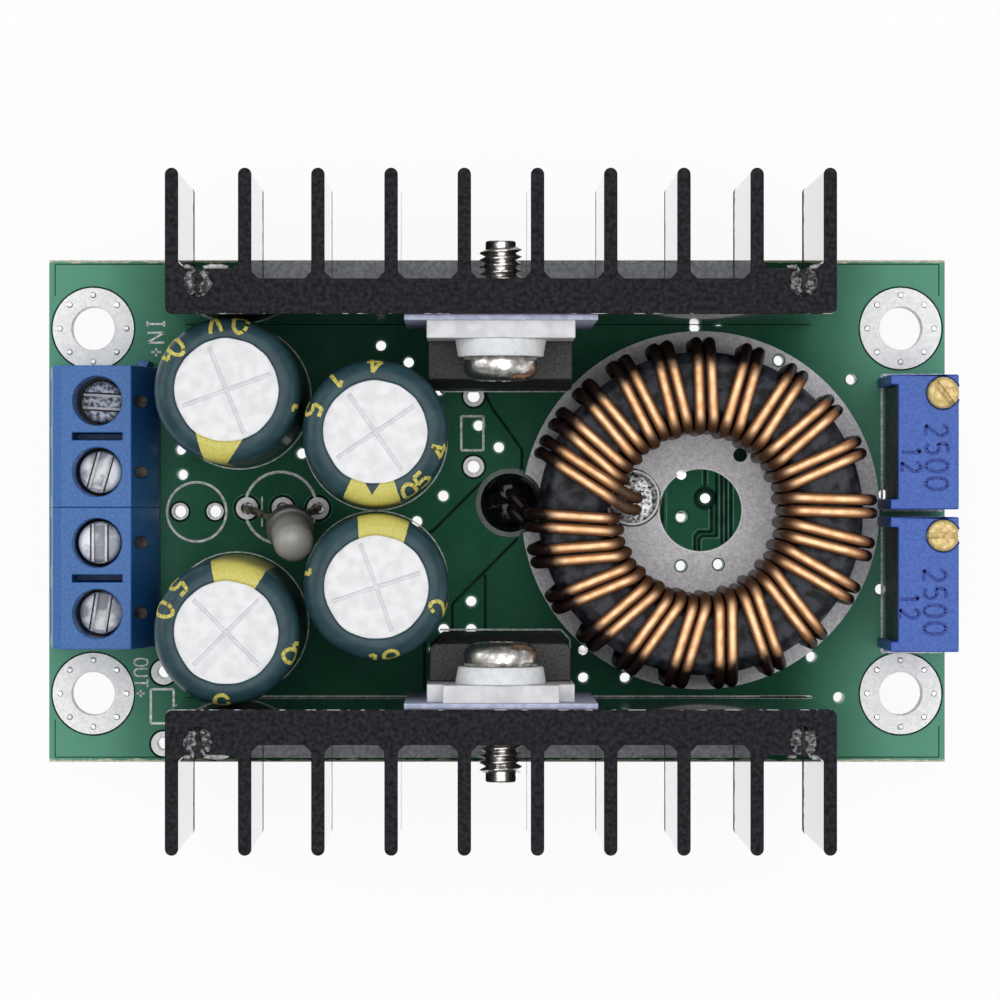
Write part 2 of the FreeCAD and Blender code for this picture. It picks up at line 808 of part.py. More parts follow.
def lamp_body():
    """The moulded lens: flange, barrel and dome, leaning with its legs."""
    dome_z = lamp_height - lamp_r
    corners = [
        Vec(0, 0, lamp_height),
        Vec(0, 0, 0),
        Vec(lamp_flange_r, 0, 0),
        Vec(lamp_flange_r, 0, lamp_flange_height),
        Vec(lamp_r, 0, lamp_flange_height),
        Vec(lamp_r, 0, dome_z),
    ]
    edges = [Part.LineSegment(near, far).toShape() for near, far in zip(corners, corners[1:])]
    half_up = Vec(lamp_r * math.sqrt(0.5), 0, dome_z + lamp_r * math.sqrt(0.5))
    edges.append(Part.Arc(corners[-1], half_up, corners[0]).toShape())
    lens = Part.Face(Part.Wire(edges)).revolve(Vec(0, 0, 0), UP, 360)
    lens.Placement = lamp_placement()
    return lens


def lamp_placement():
    """The lamp's lean, with its foot at its base point over the board."""
    base = lamp_base + Vec(0, 0, board_top)
    return FreeCAD.Placement(base, FreeCAD.Rotation(UP, lamp_lean))


def lamp_leads():
    """Three square legs, bent from their pads to the leaning lens."""
    leads = []
    section = flat_section(lamp_lead_width, Vec(0, lamp_lead_width, 0))
    for k, pad_x in enumerate(lamp_pads_x):
        pad = bore_for(Vec(pad_x, lamp_pads_y, 0), lamp_lead_width * math.sqrt(0.5))
        foot = lamp_placement().multVec(Vec((k - 1) * lamp_lead_spacing, 0, 0))
        knee = lamp_placement().multVec(Vec((k - 1) * lamp_lead_spacing, 0, -lamp_lead_drop))
        rise = pad + Vec(0, 0, board_top + lamp_lead_rise)
        path = [pad + Vec(0, 0, -lead_stub), rise, knee, foot]
        leads.append(mitred_bar(path, section))
    return leads


def solder_joints(leads):
    """A pointed solder fillet under every through-hole, around what comes out of it."""
    joints = []
    for centre, hole_r in through_holes:
        fillet = pointed_drop(Vec(centre.x, centre.y, 0), hole_r + solder_land)
        near = [lead for lead in leads if lead.BoundBox.intersect(fillet.BoundBox)]
        joints.append(fillet.cut(near) if near else fillet)
    return joints


def pointed_drop(centre, radius):
    """A many-sided solder cone hanging under the board."""
    turns = [2 * math.pi * k / solder_sides for k in range(solder_sides)]
    rim = [centre + Vec(radius * math.cos(a), radius * math.sin(a), 0) for a in turns]
    tip = centre + Vec(0, 0, -solder_height)
    faces = [Part.Face(Part.makePolygon(rim + [rim[0]]))]
    for near, far in zip(rim, rim[1:] + rim[:1]):
        faces.append(Part.Face(Part.makePolygon([near, far, tip, near])))
    solid = Part.Solid(Part.Shell(faces))
    return solid if solid.Volume > 0 else solid.reversed()


def choke_holes():
    """The choke's two pads, each taking both wires in one wide hole."""
    for pad in (start_pad, end_pad):
        through_holes.append((pad, choke_pad_hole_r))


def circuit_board():
    """The bare board: mounting holes, lead holes and the holes of parts left off it."""
    z_range = (0, board_thickness)
    board = block(centred(0, board_length), centred(0, board_width), z_range)
    holes = [rod(centre, (-1, board_thickness + 1), hole_r) for centre, hole_r in through_holes]
    for side_x in (-1, 1):
        for side_y in (-1, 1):
            corner = Vec(side_x * mounting_spacing_x / 2, side_y * mounting_spacing_y / 2, 0)
            holes.append(rod(corner, (-1, board_thickness + 1), mounting_hole_r))
    holes += [rod(Vec(x, y, 0), (-1, board_thickness + 1), spare_hole_r) for x, y in spare_holes]
    return board.cut(holes)


def gull_leads(centre, count, pitch, body_width, body_height, span, width, thickness):
    """Formed leads on both long sides of a flat package hanging under the board."""
    leads = []
    section = flat_section(width, Vec(0, 0, thickness))
    exit_z = -body_height / 2
    foot_z = -thickness / 2
    bend = (span - body_width) / 4
    for side in (-1, 1):
        for k in range(count):
            x = centre.x + (k - (count - 1) / 2) * pitch
            path = [
                Vec(x, centre.y + side * body_width / 2, exit_z),
                Vec(x, centre.y + side * (body_width / 2 + bend), exit_z),
                Vec(x, centre.y + side * (body_width / 2 + bend), foot_z),
                Vec(x, centre.y + side * span / 2, foot_z),
            ]
            leads.append(mitred_bar(path, section))
    return leads


def flat_package(centre, length, width, height):
    """A small moulded body under the board, bevelled round its lower face."""
    body = block(centred(centre.x, length), centred(centre.y, width), (-height, 0))
    lower = [e for e in body.Edges if abs(e.BoundBox.ZMax + height) < 1e-6]
    return body.makeChamfer(flat_package_bevel, lower)


def supply_leads():
    """Three flat leads on one side of the small supply package and its heat tab on the other."""
    leads = []
    edge_y = supply_centre.y - supply_width / 2
    z_range = (-supply_lead_thickness, 0)
    for k in (-1, 0, 1):
        x = supply_centre.x + k * supply_lead_pitch
        leads.append(block(centred(x, supply_lead_width), (edge_y - supply_lead_reach, edge_y), z_range))
    tab_y = supply_centre.y + supply_width / 2
    x_range = centred(supply_centre.x, supply_tab_width)
    leads.append(block(x_range, (tab_y, tab_y + supply_tab_reach), z_range))
    return leads


def chip(centre, size):
    """A small rectangular chip part, flat on the underside."""
    return block(centred(centre[0], size.x), centred(centre[1], size.y), (-size.z, 0))


def shunt_resistor():
    """The wide current-sensing chip resistor between its end caps."""
    middle = Vec(shunt_size.x - 2 * shunt_cap_length, shunt_size.y, shunt_size.z)
    return chip((shunt_centre.x, shunt_centre.y), middle)


def shunt_caps():
    """The resistor's two metal ends."""
    reach = (shunt_size.x - shunt_cap_length) / 2
    size = Vec(shunt_cap_length, shunt_size.y, shunt_size.z)
    return [chip((shunt_centre.x + side * reach, shunt_centre.y), size) for side in (-1, 1)]


def converter_nodes():
    """Every piece of the module under its node's name."""
    nodes = {}
    upper_sink = heatsink()
    nodes["heatsink_upper"] = upper_sink
    nodes["heatsink_lower"] = mirrored_y(upper_sink)
    nodes["heatsink_pins"] = sink_pins()
    nodes["insulator_sheet_upper"] = insulator()
    nodes["insulator_sheet_lower"] = mirrored_y(insulator())
    nodes["clamp_screw_upper"] = clamp_screw()
    nodes["clamp_screw_lower"] = mirrored_y(clamp_screw())
    nodes["insulating_bush_upper"] = bush()
    nodes["insulating_bush_lower"] = mirrored_y(bush())
    nodes["regulator_tab"] = package_tab(notched=False)
    nodes["regulator_body"] = package_body(regulator_width, 0)
    rows = [-lead_row_spacing / 2, lead_row_spacing / 2]
    nodes["regulator_leads"] = package_leads(5, regulator_lead_pitch, rows)
    nodes["rectifier_tab"] = mirrored_y(package_tab(notched=True))
    nodes["rectifier_body"] = mirrored_y(package_body(rectifier_width, rectifier_corner_chamfer))
    first_mirrored = len(through_holes)
    nodes["rectifier_leads"] = [mirrored_y(lead) for lead in package_leads(3, rectifier_lead_pitch, [0])]
    for k in range(first_mirrored, len(through_holes)):
        centre, hole_r = through_holes[k]
        through_holes[k] = (Vec(centre.x, -centre.y, 0), hole_r)
    for k, (x, y) in enumerate(capacitor_centres, start=1):
        nodes[f"capacitor_{k}_can"] = capacitor_can(Vec(x, y, 0))
        nodes[f"capacitor_{k}_sleeve"] = capacitor_sleeve(Vec(x, y, 0))
    nodes["capacitor_leads"] = capacitor_leads()
    nodes["choke_core"] = choke_core()
    nodes["choke_winding_first"] = winding_strand(0)
    nodes["choke_winding_second"] = winding_strand(1)
    choke_holes()
    poles = []
    for k, centre_y in enumerate(terminal_block_centres_y, start=1):
        nodes[f"terminal_housing_{k}"] = terminal_housing(centre_y)
        poles += pole_positions(centre_y)
    nodes["terminal_cages"] = [contact_cage(y) for y in poles]
    for k, (y, recess) in enumerate(zip(poles, terminal_screw_recesses), start=1):
        nodes[f"terminal_screw_{k}"] = terminal_screw(y, recess, terminal_screw_slot_turns[k - 1])
        nodes[f"pressure_plate_{k}"] = pressure_plate(y, recess)
    for k, centre_y in enumerate(trimmer_centres_y, start=1):
        nodes[f"trimmer_{k}_housing"] = trimmer_housing(centre_y)
        nodes[f"trimmer_{k}_potting"] = trimmer_potting(centre_y)
        nodes[f"trimmer_{k}_screw"] = trimmer_screw(centre_y, trimmer_slot_turns[k - 1])
    nodes["trimmer_pins"] = trimmer_pins()
    nodes["indicator_lamp"] = lamp_body()
    nodes["indicator_leads"] = lamp_leads()
    through = ("regulator_leads", "rectifier_leads", "terminal_cages", "indicator_leads", "heatsink_pins")
    stubs = [solid for name in through for solid in nodes[name]]
    stubs += [nodes["choke_winding_first"], nodes["choke_winding_second"]]
    nodes["solder_joints"] = solder_joints(stubs)
    nodes["circuit_board"] = circuit_board()
    nodes["amplifier_body"] = flat_package(
        amplifier_centre, amplifier_length, amplifier_width, amplifier_height,
    )
    nodes["amplifier_leads"] = gull_leads(
        amplifier_centre, 4, amplifier_lead_pitch, amplifier_width, amplifier_height,
        amplifier_lead_span, amplifier_lead_width, amplifier_lead_thickness,
    )
    nodes["supply_body"] = flat_package(supply_centre, supply_length, supply_width, supply_height)
    nodes["supply_leads"] = supply_leads()
    nodes["shunt_resistor"] = shunt_resistor()
    nodes["shunt_end_caps"] = shunt_caps()
    nodes["chip_resistors"] = [chip(centre, chip_size) for centre in chip_resistor_centres]
    nodes["chip_capacitors"] = [chip(centre, chip_size) for centre in chip_capacitor_centres]
    return nodes


def save(nodes):
    """One file per node; a group of separate solids becomes a compound."""
    os.makedirs("parts", exist_ok=True)
    for name, shape in nodes.items():
        if isinstance(shape, list):
            shape = Part.makeCompound(shape)
        shape.exportStep(f"parts/{name}.step")
        print(name, len(shape.Solids), "solids", round(shape.Volume, 2), "mm3", "valid", shape.isValid())


save(converter_nodes())
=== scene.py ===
# %% [markdown]
# # A step-down converter module, dressed for its portrait
#
# The module is a green board with two black finned heatsinks, a wound ring, four electrolytic
# capacitors, blue screw terminals and two blue trimmers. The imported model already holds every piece
# at its real size. This lesson keeps those places and gives each piece the edges, the finish and the
# small marks that the eye looks for. We load the fixed frame first and note its size.

# %% Load the frame
import bpy
import bmesh
import math
import random
from mathutils import Matrix, Vector, noise


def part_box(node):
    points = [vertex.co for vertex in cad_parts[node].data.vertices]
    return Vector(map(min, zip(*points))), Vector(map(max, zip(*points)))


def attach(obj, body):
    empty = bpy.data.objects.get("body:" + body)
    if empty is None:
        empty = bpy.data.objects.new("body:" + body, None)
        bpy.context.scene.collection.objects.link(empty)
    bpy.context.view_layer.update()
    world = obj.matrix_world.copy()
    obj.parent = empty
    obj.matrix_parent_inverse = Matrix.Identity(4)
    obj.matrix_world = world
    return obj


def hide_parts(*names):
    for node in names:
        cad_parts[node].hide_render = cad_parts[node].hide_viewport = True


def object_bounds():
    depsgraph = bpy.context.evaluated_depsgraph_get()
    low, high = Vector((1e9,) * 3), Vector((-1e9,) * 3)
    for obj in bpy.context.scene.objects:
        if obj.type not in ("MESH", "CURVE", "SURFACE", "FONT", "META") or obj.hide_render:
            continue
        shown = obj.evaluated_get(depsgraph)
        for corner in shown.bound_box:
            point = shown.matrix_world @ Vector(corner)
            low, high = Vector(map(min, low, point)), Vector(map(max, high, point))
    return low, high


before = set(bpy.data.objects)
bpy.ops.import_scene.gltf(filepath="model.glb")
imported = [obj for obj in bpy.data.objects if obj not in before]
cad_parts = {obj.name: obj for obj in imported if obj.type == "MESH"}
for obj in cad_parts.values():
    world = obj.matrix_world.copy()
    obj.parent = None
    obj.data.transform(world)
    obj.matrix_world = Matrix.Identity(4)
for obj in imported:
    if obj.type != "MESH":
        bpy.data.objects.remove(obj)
cad_lowest, cad_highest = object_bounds()
print("frame size, mm:", [round(side * 1000, 2) for side in cad_highest - cad_lowest])

# %% [markdown]
# ## Working in millimetres
#
# Everything on such a board is a few millimetres across, so the pieces are modelled in millimetres
# and scaled once, when a piece is finished. Two small helpers read a node's box in millimetres and
# turn a point of the photograph into a place on the board's face. The photograph looks straight down,
# so one scale is enough at that level. Higher points spread away from the spot below the camera.

# %% Units and places
MM = 0.001
PHOTO_SCALE = 13.78
PHOTO_BOARD_CENTRE = (497.0, 511.35)
CAMERA_PIXEL = (457.0, 500.0)
CAMERA_HEIGHT = 320.0


def box_mm(node):
    """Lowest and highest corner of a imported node, in millimetres."""
    low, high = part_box(node)
    return low / MM, high / MM


def at_pixel(px, py):
    """The place on the board's top face that shows at a pixel of the photograph."""
    x = (px - PHOTO_BOARD_CENTRE[0]) / PHOTO_SCALE
    y = (PHOTO_BOARD_CENTRE[1] - py) / PHOTO_SCALE
    return x, y


def at_height(px, py, height):
    """The place that shows at a pixel when it stands a height above the board's top face."""
    shrink = 1 - height / CAMERA_HEIGHT
    return at_pixel(CAMERA_PIXEL[0] + (px - CAMERA_PIXEL[0]) * shrink,
                    CAMERA_PIXEL[1] + (py - CAMERA_PIXEL[1]) * shrink)


def plus(place, shift):
    """A place moved by (x, y)."""
    return place[0] + shift[0], place[1] + shift[1]


board_low, board_high = box_mm("circuit_board")
BOARD_TOP = board_high.z
print("board top at", round(BOARD_TOP, 3), "mm")

# %% [markdown]
# ## Turning a bmesh into a piece
#
# Each piece ends the same way: doubles are merged, faces are turned outwards, the mesh is scaled to
# metres and shaded smooth with sharp edges kept. Then the piece takes its material and is told which
# body carries it and which imported nodes it stands for. The print counts open edges, and edges where
# more than two faces meet.

# %% Finish a piece
def add_piece(name, bm, material, body="module", replaces=(), sharp=35.0, weld=1e-4):
    """Makes an object of a bmesh in millimetres and fits it to the frame."""
    bmesh.ops.remove_doubles(bm, verts=bm.verts, dist=weld)
    bmesh.ops.recalc_face_normals(bm, faces=bm.faces)
    bmesh.ops.scale(bm, vec=(MM, MM, MM), verts=bm.verts)
    mesh = bpy.data.meshes.new(name)
    open_edges = sum(1 for edge in bm.edges if len(edge.link_faces) < 2)
    crowded_edges = sum(1 for edge in bm.edges if len(edge.link_faces) > 2)
    bm.to_mesh(mesh)
    bm.free()
    mesh.shade_smooth()
    mesh.set_sharp_from_angle(angle=math.radians(sharp))
    mesh.materials.append(material)
    piece = bpy.data.objects.new(name, mesh)
    bpy.context.scene.collection.objects.link(piece)
    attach(piece, body)
    if replaces:
        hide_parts(*replaces)
    print(f"{name}: {len(mesh.polygons)} faces, {open_edges} open edges, "
          f"{crowded_edges} with over two faces")
    return piece


# %% [markdown]
# ## Three ways to make a form
#
# Round things are turned: a profile of (radius, height) points is spun about an upright axis. Flat
# things with holes are filled between closed loops and thickened. Long thin things follow a path.
# These helpers make most of the pieces below.

# %% Turn, cut and run
def rounded(points, radius, steps=3):
    """A chain of 2D points with its inner corners rounded by short arcs of chords."""
    result = [points[0]]
    for before, corner, after in zip(points, points[1:], points[2:]):
        corner_v = Vector(corner)
        back = Vector(before) - corner_v
        ahead = Vector(after) - corner_v
        reach = min(radius, back.length * 0.45, ahead.length * 0.45)
        start = corner_v + back.normalized() * reach
        end = corner_v + ahead.normalized() * reach
        for k in range(steps + 1):
            t = k / steps
            point = start * (1 - t) ** 2 + corner_v * 2 * t * (1 - t) + end * t ** 2
            result.append(tuple(point))
    result.append(points[-1])
    return result


def lathe(bm, profile, centre=(0.0, 0.0), steps=48, closed=False):
    """Spins a profile of (radius, height) points about an upright axis through centre."""
    verts = [bm.verts.new((centre[0] + r, centre[1], z)) for r, z in profile]
    ends = verts[1:] + verts[:1] if closed else verts[1:]
    edges = [bm.edges.new(pair) for pair in zip(verts, ends)]
    hub = (centre[0], centre[1], 0)
    bmesh.ops.spin(bm, geom=verts + edges, cent=hub, axis=(0, 0, 1), angle=2 * math.pi, steps=steps,
                   use_merge=True)


def loop_of(bm, points, z):
    """A closed loop of edges through flat points."""
    verts = [bm.verts.new((x, y, z)) for x, y in points]
    return [bm.edges.new(pair) for pair in zip(verts, verts[1:] + verts[:1])]


def circle_points(centre, radius, steps=24):
    """Points round a circle."""
    turns = [2 * math.pi * k / steps for k in range(steps)]
    return [(centre[0] + radius * math.cos(a), centre[1] + radius * math.sin(a)) for a in turns]


def plate(bm, loops, z_low, z_high):
    """Fills between flat closed loops, the first round the rest, and gives the sheet its thickness."""
    edges = [edge for points in loops for edge in loop_of(bm, points, z_low)]
    made = bmesh.ops.triangle_fill(bm, use_beauty=True, use_dissolve=False, edges=edges)
    faces = [item for item in made["geom"] if isinstance(item, bmesh.types.BMFace)]
    raised = bmesh.ops.extrude_face_region(bm, geom=faces, use_keep_orig=True)
    tops = [item for item in raised["geom"] if isinstance(item, bmesh.types.BMVert)]
    bmesh.ops.translate(bm, vec=(0, 0, z_high - z_low), verts=tops)


def strip(bm, start, end, width, z_low, z_high):
    """A thin straight bar on the board between two places."""
    along = Vector(end) - Vector(start)
    across = Vector((-along.y, along.x)).normalized() * width / 2
    corners = [Vector(start) + across, Vector(start) - across, Vector(end) - across, Vector(end) + across]
    plate(bm, [[tuple(corner) for corner in corners]], z_low, z_high)


def ring_plate(bm, centre, inner, outer, z_low, z_high, steps=32):
    """A flat washer."""
    profile = [(inner, z_low), (outer, z_low), (outer, z_high), (inner, z_high)]
    lathe(bm, profile, centre, steps, closed=True)


def run_of_strips(bm, places, width, z_low, z_high):
    """Bars from each place to the next."""
    for start, end in zip(places, places[1:]):
        strip(bm, start, end, width, z_low, z_high)


def turn_form(bm, degrees, axis="Z"):
    """Turns a whole bmesh about an axis through the origin."""
    matrix = Matrix.Rotation(math.radians(degrees), 3, axis)
    bmesh.ops.rotate(bm, cent=(0, 0, 0), matrix=matrix, verts=bm.verts)


def move_form(bm, x, y, z=0.0):
    """Moves a whole bmesh."""
    bmesh.ops.translate(bm, vec=(x, y, z), verts=bm.verts)


def block(bm, low, high, edge=0.0, segments=2):
    """A box between two corners, with its edges rounded if edge is given."""
    middle = (Vector(low) + Vector(high)) / 2
    size = Vector(high) - Vector(low)
    matrix = Matrix.Translation(middle) @ Matrix.Diagonal((*size, 1))
    made = bmesh.ops.create_cube(bm, size=1, matrix=matrix)
    if edge:
        edges = list({e for vert in made["verts"] for e in vert.link_edges})
        bmesh.ops.bevel(bm, geom=edges, offset=edge, segments=segments, profile=0.5, affect="EDGES",
                        material=-1)


# %% [markdown]
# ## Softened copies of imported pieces
#
# A moulded or machined piece never has a knife edge: a thin line of light runs along it. Where the
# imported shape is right, a copy of its mesh is merged, its flat faces are made whole again and its
# sharp edges are bevelled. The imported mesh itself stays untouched, and the copy stands for it.

# %% Copy a node and soften its edges
def softened(node, edge=0.06, segments=2, sharp=25.0):
    """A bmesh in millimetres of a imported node, with its sharp edges bevelled."""
    bm = bmesh.new()
    bm.from_mesh(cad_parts[node].data)
    bmesh.ops.scale(bm, vec=(1 / MM, 1 / MM, 1 / MM), verts=bm.verts)
    bmesh.ops.remove_doubles(bm, verts=bm.verts, dist=1e-3)
    bmesh.ops.dissolve_limit(bm, angle_limit=math.radians(0.6), verts=bm.verts, edges=bm.edges)
    if edge:
        limit = math.radians(sharp)
        edges = [e for e in bm.edges if len(e.link_faces) == 2 and e.calc_face_angle() > limit]
        bmesh.ops.bevel(bm, geom=edges, offset=edge, segments=segments, profile=0.5, affect="EDGES",
                        clamp_overlap=False, material=-1)
    return bm


def softened_piece(node, material, edge=0.06, segments=2, body="module", sharp=25.0):
    """The softened copy as a piece that stands for its node; big faces keep their flat shading."""
    bm = softened(node, edge, segments, sharp)
    piece = add_piece(f"{node}_soft", bm, material, body=body, replaces=(node,), sharp=40.0)
    weighted = piece.modifiers.new("flat_faces_first", "WEIGHTED_NORMAL")
    weighted.keep_sharp = True
    return piece


def carved(bm, cutter):
    """The first bmesh with the second one cut out of it."""
    holders = []
    for label, source in (("carved_body", bm), ("carving_tool", cutter)):
        bmesh.ops.remove_doubles(source, verts=source.verts, dist=1e-4)
        bmesh.ops.recalc_face_normals(source, faces=source.faces)
        mesh = bpy.data.meshes.new(label)
        source.to_mesh(mesh)
        source.free()
        holder = bpy.data.objects.new(label, mesh)
        bpy.context.scene.collection.objects.link(holder)
        holders.append(holder)
    modifier = holders[0].modifiers.new("cut", "BOOLEAN")
    modifier.operation = "DIFFERENCE"
    modifier.solver = "EXACT"
    modifier.object = holders[1]
    bpy.context.view_layer.update()
    result = holders[0].evaluated_get(bpy.context.evaluated_depsgraph_get())
    out = bmesh.new()
    out.from_mesh(result.to_mesh())
    result.to_mesh_clear()
    for holder in holders:
        data = holder.data
        bpy.data.objects.remove(holder)
        bpy.data.meshes.remove(data)
    return out


# %% [markdown]
# ## Shader building blocks
#
# A material is a small tree of nodes. One helper adds a node and fills its sockets, either with a
# value or with a link. Short ones measure where the shaded point lies and which way it faces. Constants
# go straight on the shader, and only what changes over the surface comes in through a link.

# %% Node helpers
def add(tree, kind, settings=None, **inputs):
    """Adds a node; each named input takes a value or a link."""
    made = tree.nodes.new(kind)
    for key, value in (settings or {}).items():
        setattr(made, key, value)
    for key, value in inputs.items():
        socket = made.inputs[int(key[1:])] if key[0] == "i" and key[1:].isdigit() else made.inputs[key]
        if isinstance(value, bpy.types.NodeSocket):
            tree.links.new(value, socket)
        else:
            socket.default_value = value
    return made


def maths(tree, operation, first, second=0.5, third=0.0):
    """One step of arithmetic."""
    return add(tree, "ShaderNodeMath", {"operation": operation}, i0=first, i1=second, i2=third).outputs[0]


def blend_colours(tree, share, first, second):
    """Mixes two colours by a share."""
    made = add(tree, "ShaderNodeMix", {"data_type": "RGBA"}, i0=share, i6=first, i7=second)
    return made.outputs[2]


def steps_of(tree, value, low, high):
    """A soft step: 0 below low and 1 above high."""
    made = add(tree, "ShaderNodeMapRange", {"interpolation_type": "SMOOTHSTEP"}, Value=value)
    made.inputs["From Min"].default_value = low
    made.inputs["From Max"].default_value = high
    return made.outputs["Result"]


def place_in_mm(tree):
    """The point being shaded, in millimetres of the shared frame."""
    where = add(tree, "ShaderNodeTexCoord").outputs["Object"]
    return add(tree, "ShaderNodeVectorMath", {"operation": "SCALE"}, i0=where, Scale=1000.0).outputs[0]


def parts_of(tree, vector):
    """The x, y and z of a vector as three values."""
    return add(tree, "ShaderNodeSeparateXYZ", Vector=vector).outputs


def facing_up(tree):
    """How far the surface faces up: 1 on level tops, 0 on upright sides."""
    return parts_of(tree, add(tree, "ShaderNodeTexCoord").outputs["Normal"])[2]


def measured_from(tree, point):
    """The point being shaded, in millimetres from another point."""
    return add(tree, "ShaderNodeVectorMath", {"operation": "SUBTRACT"}, i0=place_in_mm(tree),
               i1=tuple(point)).outputs[0]


def flat_radius(tree, parts):
    """The distance from the upright axis through the origin of these parts."""
    flat = add(tree, "ShaderNodeCombineXYZ", X=parts[0], Y=parts[1]).outputs[0]
    return add(tree, "ShaderNodeVectorMath", {"operation": "LENGTH"}, i0=flat).outputs[1]


def join(tree, shader, **values):
    """Links values to the shader's named sockets."""
    for key, value in values.items():
        tree.links.new(value, shader.inputs[key.replace("_", " ")])


def start_material(name, colour, roughness, metallic=0.0, **more):
    """A material with its shader set to constants; returns material, tree and shader."""
    material = bpy.data.materials.new(name)
    material.use_nodes = True
    tree = material.node_tree
    shader = tree.nodes["Principled BSDF"]
    shader.inputs["Base Color"].default_value = (*colour, 1)
    shader.inputs["Roughness"].default_value = roughness
    shader.inputs["Metallic"].default_value = metallic
    for key, value in more.items():
        shader.inputs[key.replace("_", " ")].default_value = value
    return material, tree, shader


# %% [markdown]
# ## A shared effect
#
# Grain turns up on every finish, so it is one node group that is built once and placed with its own
# values in each material. It gives out only a mask and a normal. Drawn out along one direction, the
# same noise makes the streaks that a saw or a rolling mill leaves.

# %% The grain group
def grain_group():
    """Cloudy noise as a mask, and the same noise as a fine relief."""
    group = bpy.data.node_groups.new("grain", "ShaderNodeTree")
    for label, kind, value in (("Scale", "Float", 2.0), ("Detail", "Float", 4.0), ("Relief", "Float", 0.2),
                               ("Stretch", "Vector", (1, 1, 1))):
        socket = group.interface.new_socket(label, in_out="INPUT", socket_type="NodeSocket" + kind)
        socket.default_value = value
    for label, kind in (("Mask", "Float"), ("Normal", "Vector")):
        group.interface.new_socket(label, in_out="OUTPUT", socket_type="NodeSocket" + kind)
    given = group.nodes.new("NodeGroupInput").outputs
    out = group.nodes.new("NodeGroupOutput")
    drawn = add(group, "ShaderNodeVectorMath", {"operation": "MULTIPLY"}, i0=place_in_mm(group),
                i1=given["Stretch"])
    cloud = add(group, "ShaderNodeTexNoise", Vector=drawn.outputs[0], Scale=given["Scale"],
                Detail=given["Detail"])
    bump = add(group, "ShaderNodeBump", Height=cloud.outputs[0], Strength=given["Relief"], Distance=0.0001)
    join(group, out, Mask=cloud.outputs[0], Normal=bump.outputs[0])
    return group


GRAIN = grain_group()


def grain(tree, scale, relief=0.2, detail=4.0, stretch=(1, 1, 1)):
    """Places the grain group with its own values; returns its mask and its normal."""
    made = add(tree, "ShaderNodeGroup", {"node_tree": GRAIN}, Scale=scale, Detail=detail, Relief=relief,
               Stretch=stretch)
    return made.outputs["Mask"], made.outputs["Normal"]


def grained(name, dark, light, roughness, scale=1.5, relief=0.15, metallic=0.0, stretch=(1, 1, 1),
            rough_swing=0.1, low=0.35, high=0.65, detail=4.0, **more):
    """A finish whose colour and gloss drift between two values with the grain."""
    material, tree, shader = start_material(name, light, roughness, metallic, **more)
    mask, normal = grain(tree, scale, relief, detail, stretch)
    share = steps_of(tree, mask, low, high)
    swing = maths(tree, "MULTIPLY_ADD", share, -rough_swing, roughness + rough_swing / 2)
    join(tree, shader, Base_Color=blend_colours(tree, share, (*dark, 1), (*light, 1)), Roughness=swing,
         Normal=normal)
    return material


# %% [markdown]
# ## The board's finishes
#
# The board is glass laminate under green solder mask. Over copper the mask looks lighter than over
# bare laminate, so the gaps between copper areas are dark lines. The routed edge shows the pale
# laminate itself. Print is a thin matt ink, and pads are bright solder that froze a little uneven.

# %% Board materials
def solder_mask_material():
    """Green mask with a fine grain, painted shade that darkens it across the middle and leaves it lighter
    towards the ends, and pale laminate on upright faces.
    """
    material, tree, shader = start_material("solder_mask_painted_shade", (0.03, 0.2, 0.09), 0.55, Specular_IOR_Level=0.02)
    mask, normal = grain(tree, 0.35, 0.05, detail=3.0)
    fine, fine_normal = grain(tree, 7.0, 0.2, detail=2.0)
    # Painted shade: the mask is much darker across the middle of the board and lighter towards the short
    # ends.
    along = maths(tree, "ABSOLUTE", parts_of(tree, place_in_mm(tree))[0])
    ends = maths(tree, "MULTIPLY_ADD", mask, 0.3, steps_of(tree, along, 20.0, 31.5))
    greens_with_painted_shade = blend_colours(tree, ends, (0.004, 0.075, 0.033, 1), (0.125, 0.345, 0.235, 1))
    greens_with_painted_shade = blend_colours(tree, maths(tree, "MULTIPLY", fine, 0.06), greens_with_painted_shade, (0.08, 0.3, 0.18, 1))
    flat = maths(tree, "GREATER_THAN", maths(tree, "ABSOLUTE", facing_up(tree)), 0.5)
    fibre, _ = grain(tree, 3.0, 0.1, stretch=(1, 1, 6))
    laminate = blend_colours(tree, fibre, (0.35, 0.37, 0.24, 1), (0.7, 0.68, 0.5, 1))
    join(tree, shader, Base_Color=blend_colours(tree, flat, laminate, greens_with_painted_shade),
         Roughness=maths(tree, "MULTIPLY_ADD", flat, -0.4, 0.78), Normal=fine_normal)
    return material


MASK = solder_mask_material()
GAP = grained("mask_over_laminate", (0.001, 0.014, 0.009), (0.003, 0.026, 0.018), 0.5, scale=1.2,
              Specular_IOR_Level=0.05)
RIDGE = grained("mask_over_edge", (0.05, 0.2, 0.13), (0.12, 0.3, 0.2), 0.5, scale=1.2,
                Specular_IOR_Level=0.1)
PRINT = grained("white_print", (0.5, 0.52, 0.51), (0.9, 0.92, 0.91), 0.7, scale=3.0, relief=0.1)
PRINT_GREY = grained("worn_grey_print", (0.68, 0.66, 0.7), (0.98, 0.96, 1.0), 0.6, scale=4.5, relief=0.15,
                     detail=8.0, low=0.25, high=0.75)
PRINT_BAR = grained("grey_bar_print", (0.55, 0.58, 0.62), (0.82, 0.85, 0.9), 0.6, scale=3.0, relief=0.1)
TINNED = grained("tinned_copper", (0.9, 0.9, 0.89), (1.0, 1.0, 0.99), 0.5, scale=4.5, relief=0.3,
                 metallic=0.05, rough_swing=0.2, detail=6.0)
SOLDER = grained("bright_solder", (0.45, 0.45, 0.44), (0.86, 0.86, 0.85), 0.25, scale=0.9, relief=0.5,
                 metallic=0.9, rough_swing=0.15)

